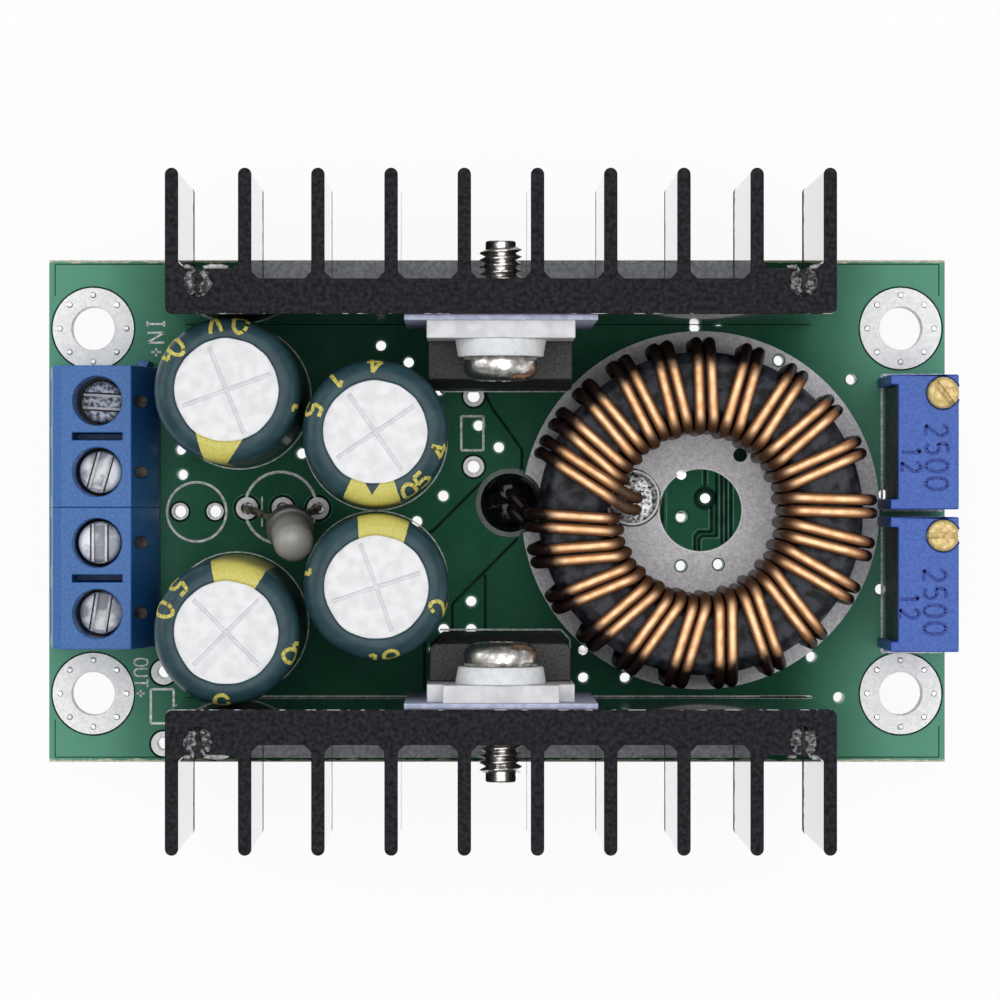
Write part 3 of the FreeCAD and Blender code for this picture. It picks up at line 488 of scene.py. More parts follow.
# %% [markdown]
# ## The board
#
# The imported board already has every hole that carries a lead. The real one also has some thirty bare
# vias, small plated holes that join the two copper sides, and light shows through them. They are cut
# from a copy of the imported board. Their places were read off the photograph, so they are given as
# pixels and turned into millimetres. Three that lie over parts of the underside are filled with solder,
# and one stays dark.

# %% Board with its vias
VIA_PIXELS = [
    (182.6, 475), (301.7, 453.8), (380.9, 345.8), (408.7, 362.5), (439, 390.6), (443.3, 496.2),
    (478.7, 425.8), (499, 447.6), (417, 521.8), (471.2, 601.7), (471.2, 629.7), (443.8, 629.6),
    (434.2, 650.2), (583.4, 678.1), (625.2, 678.1), (694.8, 314.5), (694.8, 327.8), (718.4, 321),
    (778.9, 360.7), (851.2, 379.6), (681.3, 517.2), (681, 566.3), (718.4, 564.7), (883.7, 494.8),
    (880.4, 589.6), (811.5, 657.3), (838.7, 697.7), (180.8, 449.8),
]
VIA_R = 0.4
VIA_PLACES = [at_pixel(px, py) for px, py in VIA_PIXELS]
FILLED_VIAS = [at_pixel(583, 650.5), at_pixel(681.4, 475), at_pixel(705.2, 498.7)]
DARK_VIA = at_pixel(740.3, 455.4)


def drilled_board():
    """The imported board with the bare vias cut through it."""
    drills = bmesh.new()
    for place in VIA_PLACES:
        lathe(drills, [(0, -1), (VIA_R, -1), (VIA_R, 3), (0, 3)], place, 16)
    return carved(softened("circuit_board", 0), drills)


add_piece("board_with_vias", drilled_board(), MASK, replaces=("circuit_board",), sharp=30)

# %% [markdown]
# ## Pads, lands and linings
#
# Every hole has a ring of tinned copper. The four mounting lands are wide, and eight small filled
# vias stitch each of them to the other side. Round a land the mask stops short and leaves a dark
# ring of bare laminate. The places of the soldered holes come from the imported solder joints.

# %% Rings round the holes
def islands(node):
    """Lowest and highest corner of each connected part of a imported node, in millimetres."""
    bm = softened(node, 0)
    waiting = set(bm.verts)
    boxes = []
    while waiting:
        queue = [waiting.pop()]
        points = []
        while queue:
            vert = queue.pop()
            points.append(vert.co.copy())
            fresh = {edge.other_vert(vert) for edge in vert.link_edges} & waiting
            waiting -= fresh
            queue += fresh
        low = Vector([min(point[k] for point in points) for k in range(3)])
        high = Vector([max(point[k] for point in points) for k in range(3)])
        boxes.append((low, high))
    bm.free()
    return sorted(boxes, key=lambda pair: tuple(pair[0]))


MOUNTING_HOLES = [(x, y) for x in (-29.3, 29.3) for y in (-13.25, 13.25)]
SPARE_HOLES = [(-23.0, -0.03), (-20.46, -0.03), (-1.69, 8.34), (-1.69, 3.22), (-24.2, -11.7), (-24.2, -16.9)]
SPARE_LAND_R = [0.62, 0.62, 0.76, 0.76, 0.9, 0.9]
COPPER = 0.035
LAND_INNER_R, LAND_OUTER_R, LAND_GAP_R = 1.58, 2.95, 3.06
SPARE_HOLE_R, STITCH_R = 0.47, 2.42
PAD_R, COVERED_PAD_R, PAD_WIDTH, WIDEST_PAD_R = 0.8, 0.62, 0.44, 1.4
joints = islands("solder_joints")
print("solder joints:", len(joints), "widest", round(max(high.x - low.x for low, high in joints), 2), "mm")


def lands():
    """Tinned rings on both faces, and the linings of the bare holes."""
    bm = bmesh.new()
    for z in (BOARD_TOP, -COPPER):
        for centre in MOUNTING_HOLES:
            ring_plate(bm, centre, LAND_INNER_R, LAND_OUTER_R, z, z + COPPER, 48)
        for centre, land_r in zip(SPARE_HOLES, SPARE_LAND_R):
            ring_plate(bm, centre, SPARE_HOLE_R, land_r, z, z + COPPER, 24)
    for centre in MOUNTING_HOLES:
        ring_plate(bm, centre, 1.572, 1.592, -COPPER, BOARD_TOP + COPPER, 48)
    for centre in SPARE_HOLES:
        ring_plate(bm, centre, 0.44, 0.485, -COPPER, BOARD_TOP + COPPER, 24)
    for low, high in joints:
        middle = (low + high) / 2
        outer = (high.x - low.x) / 2
        if outer < WIDEST_PAD_R:
            covered = 8 < abs(middle.y) < 12 and middle.x > -6
            ring_plate(bm, middle.xy, outer - PAD_WIDTH, min(outer, COVERED_PAD_R if covered else PAD_R),
                       BOARD_TOP, BOARD_TOP + COPPER, 24)
    for place in VIA_PLACES:
        ring_plate(bm, place, VIA_R - 0.025, VIA_R - 0.005, -0.01, BOARD_TOP + 0.006, 16)
    return bm


add_piece("plated_lands", lands(), TINNED)


def filled_vias():
    """Eight small filled vias on each mounting land, and the filled ones elsewhere, slightly domed."""
    bm = bmesh.new()
    z = BOARD_TOP + COPPER
    for centre in MOUNTING_HOLES:
        for place in circle_points(centre, STITCH_R, 8):
            lathe(bm, [(0, z - 0.01), (0.24, z - 0.01), (0.18, z + 0.03), (0.1, z + 0.045), (0, z + 0.02)],
                  place, 12)
    z = BOARD_TOP
    for place in FILLED_VIAS:
        lathe(bm, [(0, z - 0.01), (VIA_R, z - 0.01), (VIA_R - 0.05, z + 0.045), (0, z + 0.055)], place, 16)
    return bm


add_piece("filled_land_vias", filled_vias(), SOLDER)

# %% [markdown]
# ## Gaps in the copper
#
# Two large copper areas cover the top. The gaps between them show through the mask as dark lines.
# They are laid on as very thin bars, about a hundredth of a millimetre thick.
# Where the mask climbs over an edge of copper, a thin light line runs beside the gap.

# %% Dark gap lines and light ridges
GAP_LINES = [
    [(486, 314), (486, 396), (492, 408), (522, 450), (522, 470)],
    [(481.6, 482.4), (432.8, 531.3), (412, 540)],
    [(518, 538.4), (452.3, 604.4), (452.3, 642)], [(485.3, 575), (485.3, 640)], [(424.6, 640), (424.6, 690)],
    [(705, 470.5), (705, 487)], [(716.5, 473), (716.5, 536.5), (702, 536.5), (699, 539.5), (699, 552)],
    [(722, 475), (722, 544)], [(726, 477), (726, 543)], [(731, 482), (731, 540)],
    [(662.5, 498), (662.5, 524)],
    [(711.6, 507), (711.6, 532), (699, 532), (695, 536), (695, 552)],
]
CLEARANCE_RINGS = [(at_pixel(705.2, 498.7), 0.5, 0.85), (at_pixel(681.3, 517.2), 0.5, 0.58)]
CORNER_LINES = [
    [(55, 296), (55, 264.5), (163, 264.5)], [(55, 372), (55, 380)], [(55, 720), (55, 757.5), (162, 757.5)],
    [(838, 264.5), (939, 264.5), (939, 296)], [(939, 726), (939, 757.5), (838, 757.5)],
]
TRACK_RIDGES = [
    [(702.3, 470), (702.3, 484)], [(708, 471), (708, 484)],
    [(719.3, 474), (719.3, 538.5), (703, 538.5), (701.5, 541),
     (701.5, 552)], [(724, 476), (724, 543)], [(728.5, 478), (728.5, 542)], [(666.5, 484), (666.5, 538)],
    [(709, 509), (709, 529.5), (697.5, 529.5), (692.5, 535), (692.5, 551)], [(733.5, 484), (733.5, 539)],
]
GAP_WIDTH, CORNER_WIDTH, RIDGE_WIDTH = 0.22, 0.07, 0.07
GAP_TOP, RIDGE_TOP = BOARD_TOP + 0.006, BOARD_TOP + 0.012
LAMP_PADS = [(low + high) / 2 for low, high in joints
             if abs((low + high).x / 2 + 15.6) < 3 and abs(low.y) < 2]


def gap_bars():
    """The bars of all gap lines, the clearance rings round lands and pads, and the dark via."""
    bm = bmesh.new()
    z = BOARD_TOP
    for lines, width in ((GAP_LINES, GAP_WIDTH), (CORNER_LINES, CORNER_WIDTH)):
        for line in lines:
            run_of_strips(bm, [at_pixel(*point) for point in line], width, z, GAP_TOP)
    for centre in MOUNTING_HOLES:
        ring_plate(bm, centre, LAND_OUTER_R, LAND_GAP_R, z, GAP_TOP, 48)
        ring_plate(bm, centre, LAND_OUTER_R, LAND_GAP_R, z - GAP_TOP, 0, 48)
    rings = [(place, land_r, land_r + 0.16) for place, land_r in zip(SPARE_HOLES, SPARE_LAND_R)]
    for place, inner, outer in CLEARANCE_RINGS + rings + [(pad.xy, PAD_R, 1.0) for pad in LAMP_PADS]:
        ring_plate(bm, place, inner, outer, z, GAP_TOP, 24)
    lathe(bm, [(0, z), (0.55, z), (0.5, z + 0.045), (0.4, z + 0.045), (0.36, z + 0.01), (0, z + 0.005)],
          DARK_VIA, 20)
    return bm


add_piece("copper_gaps", gap_bars(), GAP)
print("lamp pads at", [(round(pad.x, 2), round(pad.y, 2)) for pad in LAMP_PADS])


def ridges():
    """The raised mask along tracks, round the lamp's pads, the wide lands and each via."""
    bm = bmesh.new()
    z = BOARD_TOP
    for line in TRACK_RIDGES:
        run_of_strips(bm, [at_pixel(*point) for point in line], RIDGE_WIDTH, z, RIDGE_TOP)
    for place in LAMP_PADS:
        ring_plate(bm, place.xy, 1.0, 1.06, z, RIDGE_TOP, 24)
    for centre in MOUNTING_HOLES:
        ring_plate(bm, centre, LAND_GAP_R, LAND_GAP_R + 0.04, z, z + 0.008, 48)
    for place in VIA_PLACES:
        lathe(bm, [(VIA_R, z), (VIA_R, z + 0.01), (0.46, z + 0.02), (0.53, z)], place, 20, closed=True)
    return bm


add_piece("via_collars", ridges(), RIDGE)

# %% [markdown]
# ## Printed outlines
#
# The print shows where the parts go: circles for capacitors and lamp, boxes for trimmers and for parts
# that were left out, bars for the heatsinks. Under the choke the whole ring is printed and has gone
# grey. The letters mark input, output and plus. They are drawn with straight strokes, as a plotter would.

# %% Print
PRINT_HIGH = BOARD_TOP + 0.02
LETTERS = {
    "I": [[(0.4, 0), (0.4, 1)], [(0.2, 0), (0.6, 0)], [(0.2, 1), (0.6, 1)]],
    "N": [[(0, 0), (0, 1), (0.75, 0), (0.75, 1)]],
    "O": [[(0.2, 0), (0, 0.25), (0, 0.75), (0.2, 1), (0.6, 1), (0.8, 0.75), (0.8, 0.25), (0.6, 0),
           (0.2, 0)]],
    "U": [[(0, 1), (0, 0.2), (0.2, 0), (0.6, 0), (0.8, 0.2), (0.8, 1)]],
    "T": [[(0, 1), (0.9, 1)], [(0.45, 1), (0.45, 0)]],
    "+": [[(0.05, 0.5), (0.85, 0.5)], [(0.45, 0.1), (0.45, 0.9)]],
    "0": [[(0.2, 0), (0, 0.25), (0, 0.75), (0.2, 1), (0.5, 1), (0.7, 0.75), (0.7, 0.25), (0.5, 0),
           (0.2, 0)]],
    "1": [[(0.1, 0.8), (0.4, 1), (0.4, 0)]],
    "2": [[(0, 0.75), (0.2, 1), (0.5, 1), (0.7, 0.75), (0.6, 0.5), (0, 0), (0.7, 0)]],
    "4": [[(0.5, 0), (0.5, 1), (0, 0.35), (0.75, 0.35)]],
    "5": [[(0.65, 1), (0.1, 1), (0.05, 0.55), (0.5, 0.6), (0.7, 0.4), (0.65, 0.12), (0.4, 0), (0.05, 0.1)]],
    "V": [[(0, 1), (0.35, 0), (0.7, 1)]],
}


def word(bm, text, corner, height, squeeze=0.8, width=0.15, z=BOARD_TOP, z_high=PRINT_HIGH):
    """Strokes of a word from its lower left corner; it reads from the board's back to its front."""
    quarter = Matrix.Rotation(math.radians(-90), 2)
    for index, letter in enumerate(text):
        for stroke in LETTERS[letter]:
            points = [quarter @ Vector(((x + index * 1.12) * height * squeeze, y * height)) for x,
                      y in stroke]
            run_of_strips(bm, [plus(corner, point) for point in points], width, z, z_high)


def outline(bm, corners, width=0.17):
    """A closed run of printed lines through pixels of the photograph."""
    places = [at_pixel(*corner) for corner in corners]
    run_of_strips(bm, places + places[:1], width, BOARD_TOP, PRINT_HIGH)


def rectangle(px_low, py_low, px_high, py_high):
    """Corners of an upright box in pixels."""
    return [(px_low, py_low), (px_high, py_low), (px_high, py_high), (px_low, py_high)]


CAPACITOR_CENTRES = [(-18.7, 8.25), (-8.8, 5.25), (-8.75, -5.2), (-18.87, -8.18)]
HEATSINK_BARS = [
    [(249, 262.5), (760, 262.5), (760, 322), (806, 322), (811, 317), (811, 322.6), (249, 322.6)],
    [(249, 757), (760, 757), (760, 697.6), (806, 697.6), (811, 702), (811, 697), (249, 697)],
]


PRINTED_BOXES = [(461.3, 416.6, 483.4, 450.6), (150.8, 689.6, 173.6, 723.7), (882, 375.3, 942.5, 510.5),
                 (882, 517.5, 942.5, 652.5)]
PRINTED_LINES = [[(443, 391.6), (566, 391.6)], [(440, 630), (561, 630)], [(561, 630), (570, 640)],
                 [(570, 640), (570, 662)], [(262, 497), (262, 527)]]
PRINTED_RINGS = [(centre, 5.16, 5.25, 64) for centre in CAPACITOR_CENTRES]
PRINTED_RINGS += [((-15.7, 0.24), 2.5, 2.7, 64), ((-21.8, -0.06), 2.06, 2.24, 48)]
PRINTED_WORDS = [("I", (147.5, 319), 1.2, {}), ("N", (147.5, 333), 1.2, {}), ("+", (150, 348), 0.9, {}),
                 ("OUT", (134.5, 659), 0.94, {"squeeze": 0.7, "width": 0.13}),
                 ("+", (135.5, 690), 0.75, {"width": 0.13})]


def prints():
    """All white print of the top face."""
    bm = bmesh.new()
    for centre, inner, outer, steps in PRINTED_RINGS:
        ring_plate(bm, centre, inner, outer, BOARD_TOP, PRINT_HIGH, steps)
    for box in PRINTED_BOXES:
        outline(bm, rectangle(*box))
    for line in PRINTED_LINES:
        run_of_strips(bm, [at_pixel(*point) for point in line], 0.13, BOARD_TOP, PRINT_HIGH)
    for bar in HEATSINK_BARS:
        outline(bm, bar)
    for text, corner, height, more in PRINTED_WORDS:
        word(bm, text, at_pixel(*corner), height, **more)
    return bm


def heatsink_bars():
    """The two printed bars that lie under the heatsinks."""
    bm = bmesh.new()
    for bar in HEATSINK_BARS:
        plate(bm, [[at_pixel(*corner) for corner in bar]], BOARD_TOP, BOARD_TOP + 0.012)
    return bm


add_piece("white_print", prints(), PRINT)
add_piece("printed_heatsink_bars", heatsink_bars(), PRINT_BAR)
PRINT_RING_CENTRE, PRINT_RING_R, EYE_R = (14.77, 0.06), 13.0, 3.0
END_PAD = (9.8, 0.97)


def print_ring():
    """The wide printed ring under the choke, open where vias pass through it."""
    bm = bmesh.new()
    loops = [circle_points(PRINT_RING_CENTRE, PRINT_RING_R, 96), circle_points(PRINT_RING_CENTRE, EYE_R, 48)]
    for place in VIA_PLACES + FILLED_VIAS + [DARK_VIA]:
        away = (Vector(place) - Vector(PRINT_RING_CENTRE)).length
        if EYE_R + 0.6 < away < PRINT_RING_R - 0.6:
            loops.append(circle_points(place, 0.5, 20))
    plate(bm, loops, BOARD_TOP + 0.022, BOARD_TOP + 0.04)
    return bm


add_piece("grey_print_ring", print_ring(), PRINT_GREY)


def bright_rims():
    """Thin light edges: inside the printed ring and round the pad that lies on it."""
    bm = bmesh.new()
    ring_plate(bm, PRINT_RING_CENTRE, EYE_R - 0.02, EYE_R + 0.08, BOARD_TOP + 0.03, BOARD_TOP + 0.05, 64)
    ring_plate(bm, END_PAD, 1.86, 2.0, BOARD_TOP + 0.03, BOARD_TOP + 0.14, 48)
    return bm


add_piece("bright_rims", bright_rims(), TINNED)

# %% [markdown]
# ## Torn board edges
#
# The board was snapped out of a larger panel along its long sides. The break leaves pale glass fibres
# standing in an uneven line. A thin ragged strip just inside the edge gives that look.

# %% Ragged long edges
LAMINATE = grained("glass_laminate", (0.36, 0.36, 0.24), (0.72, 0.7, 0.55), 0.8, scale=3.0, relief=0.5,
                   stretch=(1, 6, 1))


def ragged_edges():
    """A strip along each long side whose inner edge wanders."""
    bm = bmesh.new()
    step = 0.25
    for side in (-1, 1):
        edge_y = side * board_high.y
        inner = []
        for k in range(261):
            x = board_low.x + k * step
            depth = 0.16 + 0.16 * noise.noise((x * 0.9, side * 3, 0)) + 0.1 * noise.noise((x * 5, side, 4))
            inner.append((min(x, board_high.x), edge_y - side * max(depth, 0.02)))
        outer = [(board_high.x, edge_y), (board_low.x, edge_y)]
        plate(bm, [inner + outer], BOARD_TOP, BOARD_TOP + 0.012)
    return bm


add_piece("torn_fibres", ragged_edges(), LAMINATE)

# %% [markdown]
# ## Heatsinks
#
# The heatsinks are sawn from an extruded bar and anodised black, so the sides are smooth and glossy
# with fine draw lines, while the sawn tops are matt charcoal. Handling has knocked the black off some
# of the inner top edges, and bare metal shows there. The copy's bevelled edges carry that wear: the
# mask picks surface that is neither upright nor level. The gloss ends in a broken line at the foot.

# %% Black anodised metal
def anodised_material():
    """Glossy drawn sides, mottled sawn tops, a few bright chips and a dark broken line at the foot."""
    material, tree, shader = start_material("black_anodising", (0.012, 0.012, 0.014), 0.24,
                                            Specular_IOR_Level=0.08, Coat_Roughness=0.04)
    lines, lines_normal = grain(tree, 2.2, 0.03, detail=2.0, stretch=(3, 3, 0.02))
    saw, saw_normal = grain(tree, 3.2, 0.5, detail=9.0)
    facing = facing_up(tree)
    level = steps_of(tree, facing, 0.93, 0.99)
    black = (0.006, 0.006, 0.008, 1)
    sides = blend_colours(tree, steps_of(tree, lines, 0.3, 0.7), black, (0.02, 0.02, 0.024, 1))
    tops = blend_colours(tree, steps_of(tree, saw, 0.3, 0.7), black, (0.025, 0.0245, 0.031, 1))
    colour = blend_colours(tree, level, sides, tops)
    parts = parts_of(tree, place_in_mm(tree))
    across, height = maths(tree, "ABSOLUTE", parts[1]), parts[2]
    slanted = maths(tree, "MULTIPLY", steps_of(tree, facing, 0.15, 0.4), maths(tree, "SUBTRACT", 1.0, level))
    near_top = maths(tree, "MULTIPLY", steps_of(tree, height, 20.2, 20.5),
                     maths(tree, "LESS_THAN", across, INNER_FACE_Y))
    chips, _ = grain(tree, 1.1, 0.2, detail=5.0)
    worn = maths(tree, "MULTIPLY", maths(tree, "MULTIPLY", slanted, near_top),
                 steps_of(tree, chips, 0.54, 0.6))
    upright = maths(tree, "LESS_THAN", maths(tree, "ABSOLUTE", facing), 0.04)
    broken, _ = grain(tree, 1.4, 0.2, detail=3.0, stretch=(0.2, 1, 0.3))
    above_foot = maths(tree, "GREATER_THAN", height,
                       maths(tree, "MULTIPLY_ADD", broken, 1.6, HEATSINK_FOOT + 0.9))
    rough = maths(tree, "MAXIMUM", level, maths(tree, "SUBTRACT", 1.0, above_foot))
    both = add(tree, "ShaderNodeMix", {"data_type": "VECTOR"}, i0=level, i4=lines_normal, i5=saw_normal)
    join(tree, shader, Base_Color=blend_colours(tree, worn, colour, (0.72, 0.72, 0.74, 1)),
         Metallic=maths(tree, "MULTIPLY", worn, 0.6),
         Coat_Weight=maths(tree, "MULTIPLY", upright, above_foot),
         Roughness=maths(tree, "MULTIPLY_ADD", rough, 0.45, 0.15), Normal=both.outputs[1])
    return material


HEATSINK_FOOT = box_mm("heatsink_upper")[0].z
INNER_FACE_Y = 13.75
print("heatsink foot, mm:", round(HEATSINK_FOOT, 2))
ANODISED = anodised_material()
for node in ("heatsink_upper", "heatsink_lower"):
    softened_piece(node, ANODISED, edge=0.07)

# %% [markdown]
# ## Pressed pins
#
# Each heatsink stands on two tinned pins that are pressed into grooves of its base. The press tears
# the aluminium at the mouth of the groove. It leaves crushed grey lips with a crack between them
# and a thin bright flap beside them. The crack and the hole below it are dark crumbs of painted shade.
# All are crumbs: small balls pushed out of shape with noise.

# %% Pins and torn metal
PIN_METAL = grained("tinned_brass_pin", (0.5, 0.49, 0.46), (0.8, 0.79, 0.76), 0.35, scale=1.4, relief=0.3,
                    metallic=0.9)
TORN = grained("torn_aluminium", (0.02, 0.02, 0.023), (0.3, 0.3, 0.31), 0.5, scale=3.0, relief=0.6,
               metallic=0.1, rough_swing=0.1, low=0.4, high=0.65)
BARE = grained("bare_aluminium_flap", (0.2, 0.2, 0.2), (0.5, 0.5, 0.5), 0.5, scale=2.4, relief=0.5)
# Painted shade: near-black crumbs laid in the crack and down in the groove.
CRACK_SHADE = grained("painted_crack_shade", (0.004, 0.004, 0.005), (0.02, 0.018, 0.018), 0.8, scale=3.0)
GROOVES = [(0.1 + side_x * 20.7, side_y * 15.7) for side_x in (-1, 1) for side_y in (-1, 1)]
softened_piece("heatsink_pins", PIN_METAL, edge=0.12)


def crumb(bm, centre, size, seed, level):
    """A ball drawn out to a size and roughened by noise."""
    made = bmesh.ops.create_icosphere(bm, subdivisions=level, radius=1.0)
    for vert in made["verts"]:
        swell = 1 + 0.45 * noise.noise(vert.co * 1.6 + Vector((seed * 7.3, seed, 0)))
        swell += 0.18 * noise.noise(vert.co * 4.5 + Vector((seed, 0, seed * 3.1)))
        vert.co = Vector((vert.co.x * size[0], vert.co.y * size[1], vert.co.z * size[2])) * swell
        vert.co += Vector(centre)


def crumbs(parts):
    """The same crumbs at each groove: shift, height, size, seed step, seed and level of each one."""
    bm = bmesh.new()
    for index, (x, y) in enumerate(GROOVES):
        outward = math.copysign(1, y)
        for (dx, dy), z, size, seed_step, seed, level in parts:
            crumb(bm, (x + dx, y + dy * outward, z), size, index * seed_step + seed, level)
    return bm


LIPS = []
for side in (-1, 1):
    LIPS.append(((side * 0.52, 0.05), 20.06, (0.46, 0.95, 0.2), 11, side, 3))
    LIPS += [((side * (0.35 + 0.14 * k), (k - 1.4) * 0.42), 20.22, (0.28, 0.16, 0.1), 17, k * 3 + side, 2)
             for k in range(4)]
FLAPS = [((side * (0.5 + size[0]), 1.05), 20.15, size, 7, side, 3)
         for side, size in ((1, (0.75, 0.2, 0.1)), (-1, (0.3, 0.13, 0.1)))]
CRACK_SHADE_CRUMBS = [((-0.03, -0.3), 20.29, (0.09, 0.7, 0.06), 1, 40, 3),
          ((0.1, 0.25), 20.28, (0.2, 0.3, 0.06), 1, 60, 3),
          ((-0.2, 0.5), 20.27, (0.24, 0.2, 0.06), 1, 70, 3), ((0, 0), 19.9, (0.8, 1.0, 0.1), 1, 50, 2)]
for name, parts, material in (("bare_groove_flaps", FLAPS, BARE), ("torn_groove_mouths", LIPS, TORN),
                              ("groove_crack_shade", CRACK_SHADE_CRUMBS, CRACK_SHADE)):
    add_piece(name, crumbs(parts), material, sharp=60)

# %% [markdown]
# ## Clamped packages
#
# Each heatsink cools one power package. Its black epoxy body has a bare metal tab that is clamped
# through an insulating bush, with a lavender silicone sheet behind it. The tabs are tinned copper,
# dull and lightly scratched. The sheets take a soft, slightly uneven colour from their glass cloth.

# %% Packages, sheets and leads
PACKAGE_METAL = grained("tinned_tab", (0.57, 0.57, 0.6), (0.62, 0.62, 0.64), 0.5, scale=1.2, relief=0.2,
                        metallic=0.15, stretch=(1, 1, 5), rough_swing=0.2)
EPOXY = grained("black_epoxy", (0.006, 0.006, 0.007), (0.02, 0.02, 0.022), 0.5, scale=5.0, relief=0.35)
SHEET = grained("silicone_sheet", (0.42, 0.46, 0.66), (0.58, 0.62, 0.8), 0.6, scale=1.6, relief=0.2,
                stretch=(1, 1, 3))
LEAD_METAL = grained("tinned_lead", (0.5, 0.5, 0.5), (0.82, 0.82, 0.82), 0.3, scale=2.0, relief=0.25,
                     metallic=0.9)
BUSH = grained("white_nylon", (0.72, 0.72, 0.72), (0.82, 0.82, 0.82), 0.45, scale=2.0, relief=0.1,
               Subsurface_Weight=0.1)
for kind in ("regulator", "rectifier"):
    softened_piece(f"{kind}_tab", PACKAGE_METAL, edge=0.07)
    softened_piece(f"{kind}_body", EPOXY, edge=0.1)
    softened_piece(f"{kind}_leads", LEAD_METAL, edge=0.05)
for place in ("upper", "lower"):
    softened_piece(f"insulator_sheet_{place}", SHEET, edge=0.04)

# %% [markdown]
# ## Clamp screws
#
# The screws are ordinary pan heads with a cross recess. The head is turned from a rounded profile and
# two tapered bars cut the recess. The thread is a real helix: a small ridge section that is spun and
# moved along at the same time, one pitch for each full turn. A white bush insulates each screw.

# %% Cross-head screws with their thread
SCREW_STEEL = grained("bright_plated_steel", (0.38, 0.36, 0.33), (0.86, 0.85, 0.83), 0.3, scale=1.8,
                      relief=0.2,
                      metallic=1.0, rough_swing=0.12)
SCREW_X, SCREW_Z = 0.12, 16.8
HEAD_SEAT_Y = 10.7
SHAFT_R = 1.05


def helix(bm, root_r, crest_r, pitch, z_low, z_high, steps=24):
    """A closed V-shaped ridge that climbs about the upright axis."""
    turns = int((z_high - z_low) / pitch) - 1
    corners = [(root_r, z_low), (crest_r, z_low + pitch * 0.44), (crest_r, z_low + pitch * 0.56),
               (root_r, z_low + pitch)]
    verts = [bm.verts.new((r, 0, z)) for r, z in corners]
    edges = [bm.edges.new(pair) for pair in zip(verts, verts[1:] + verts[:1])]
    bmesh.ops.contextual_create(bm, geom=edges)
    bmesh.ops.spin(bm, geom=verts + edges, cent=(0, 0, 0), axis=(0, 0, 1), angle=2 * math.pi * turns,
                   steps=steps * turns, dvec=(0, 0, pitch / steps))
    loose = [edge for edge in bm.edges if len(edge.link_faces) == 1]
    bmesh.ops.holes_fill(bm, edges=loose, sides=4)


def pan_head_screw():
    """The screw upright: head below, tip above, seat at zero."""
    profile = rounded([(0, -1.7), (1.9, -1.66), (2.6, -1.05), (2.6, 0), (SHAFT_R, 0), (SHAFT_R, 7.9),
                       (0.97, 8.0), (0, 8.0)], 0.35)
    head = bmesh.new()
    lathe(head, profile, steps=56)
    for turn in (35, 125):
        bar = bmesh.new()
        block(bar, (-1.45, -0.31, -2.4), (1.45, 0.31, -0.85))
        for vert in bar.verts:
            if vert.co.z > -1:
                vert.co.x *= 0.45
                vert.co.y *= 0.6
        turn_form(bar, turn)
        head = carved(head, bar)
    helix(head, SHAFT_R - 0.03, 1.45, 0.48, 1.4, 7.95)
    return head


for place, side in (("upper", 1), ("lower", -1)):
    screw = pan_head_screw()
    turn_form(screw, -side * 90, "X")
    move_form(screw, SCREW_X, side * HEAD_SEAT_Y, SCREW_Z)
    add_piece(f"pan_head_{place}", screw, SCREW_STEEL, replaces=(f"clamp_screw_{place}",),
              weld=2e-3)
    low, high = box_mm(f"insulating_bush_{place}")
    print(f"bush {place}:", [round(value, 2) for value in (*low, *high)])
    softened_piece(f"insulating_bush_{place}", BUSH, edge=0.08)

# %% [markdown]
# ## Capacitors
#
# An aluminium can sits in a shrunk plastic sleeve that curls over its rim. The bare disc in the middle
# is scored with a cross, so that it can vent. The cross is cut with two long wedges. Lower down the
# can is crimped over its rubber seal and the sleeve follows the waist. Each can leans a
# little on its leads, so can, sleeve and figures are sheared by one shift.

# %% Cans with their vents
CAN_R = 4.85
CAN_TOP = 18.45
VENT_TURNS = [(-68, 20), (-55, 34), (-70, 18), (-45, 45)]
CAN_LEANS = [(-0.06, 0.12), (0.28, 0.22), (0.3, 0.0), (0.1, -0.14)]
CAN_METAL = grained("drawn_aluminium", (0.7, 0.7, 0.72), (0.76, 0.76, 0.78), 0.5, scale=1.2, relief=0.15,
                    metallic=0.1, rough_swing=0.15)


def can_with_vent(turns):
    """The can about the upright axis, with two scored lines on its top."""
    profile = [(0, 1.62), (CAN_R - 0.15, 1.62), (CAN_R, 1.85), (CAN_R, 2.8), (CAN_R - 0.35, 3.15),
               (CAN_R - 0.35, 3.5),
               (CAN_R, 3.9), (CAN_R, CAN_TOP - 0.7), (CAN_R - 0.25, CAN_TOP - 0.15), (CAN_R - 0.8, CAN_TOP),
               (3.1, CAN_TOP - 0.02), (0, CAN_TOP - 0.02)]
    bm = bmesh.new()
    lathe(bm, rounded(profile, 0.3), steps=64)
    for turn in turns:
        wedge = bmesh.new()
        block(wedge, (-3.3, -0.44, CAN_TOP - 0.17), (3.3, 0.44, CAN_TOP + 0.28))
        for vert in wedge.verts:
            if vert.co.z < CAN_TOP:
                vert.co.y *= 0.04
                vert.co.x *= 0.95
        turn_form(wedge, turn)
        bm = carved(bm, wedge)
    return bm


def leaned(bm, index):
    """Shears a capacitor's piece a little, since its leads let it lean."""
    for vert in bm.verts:
        share = (vert.co.z - 1.6) / (CAN_TOP - 1.6)
        vert.co.xy += Vector(CAN_LEANS[index - 1]) * share
    return bm


for index, (centre, turns) in enumerate(zip(CAPACITOR_CENTRES, VENT_TURNS), 1):
    can = can_with_vent(turns)
    move_form(can, *centre)
    leaned(can, index)
    add_piece(f"vented_can_{index}", can, CAN_METAL, replaces=(f"capacitor_{index}_can",))

# %% [markdown]
# ## Sleeves
#
# The sleeve is dark slate film with a yellow stripe on the negative side. The film shrinks over the
# rim by a different amount on each can, so the stripe grows or narrows towards the disc. It is
# painted by its half width at the disc and at the flank, measured across the can's own axis.

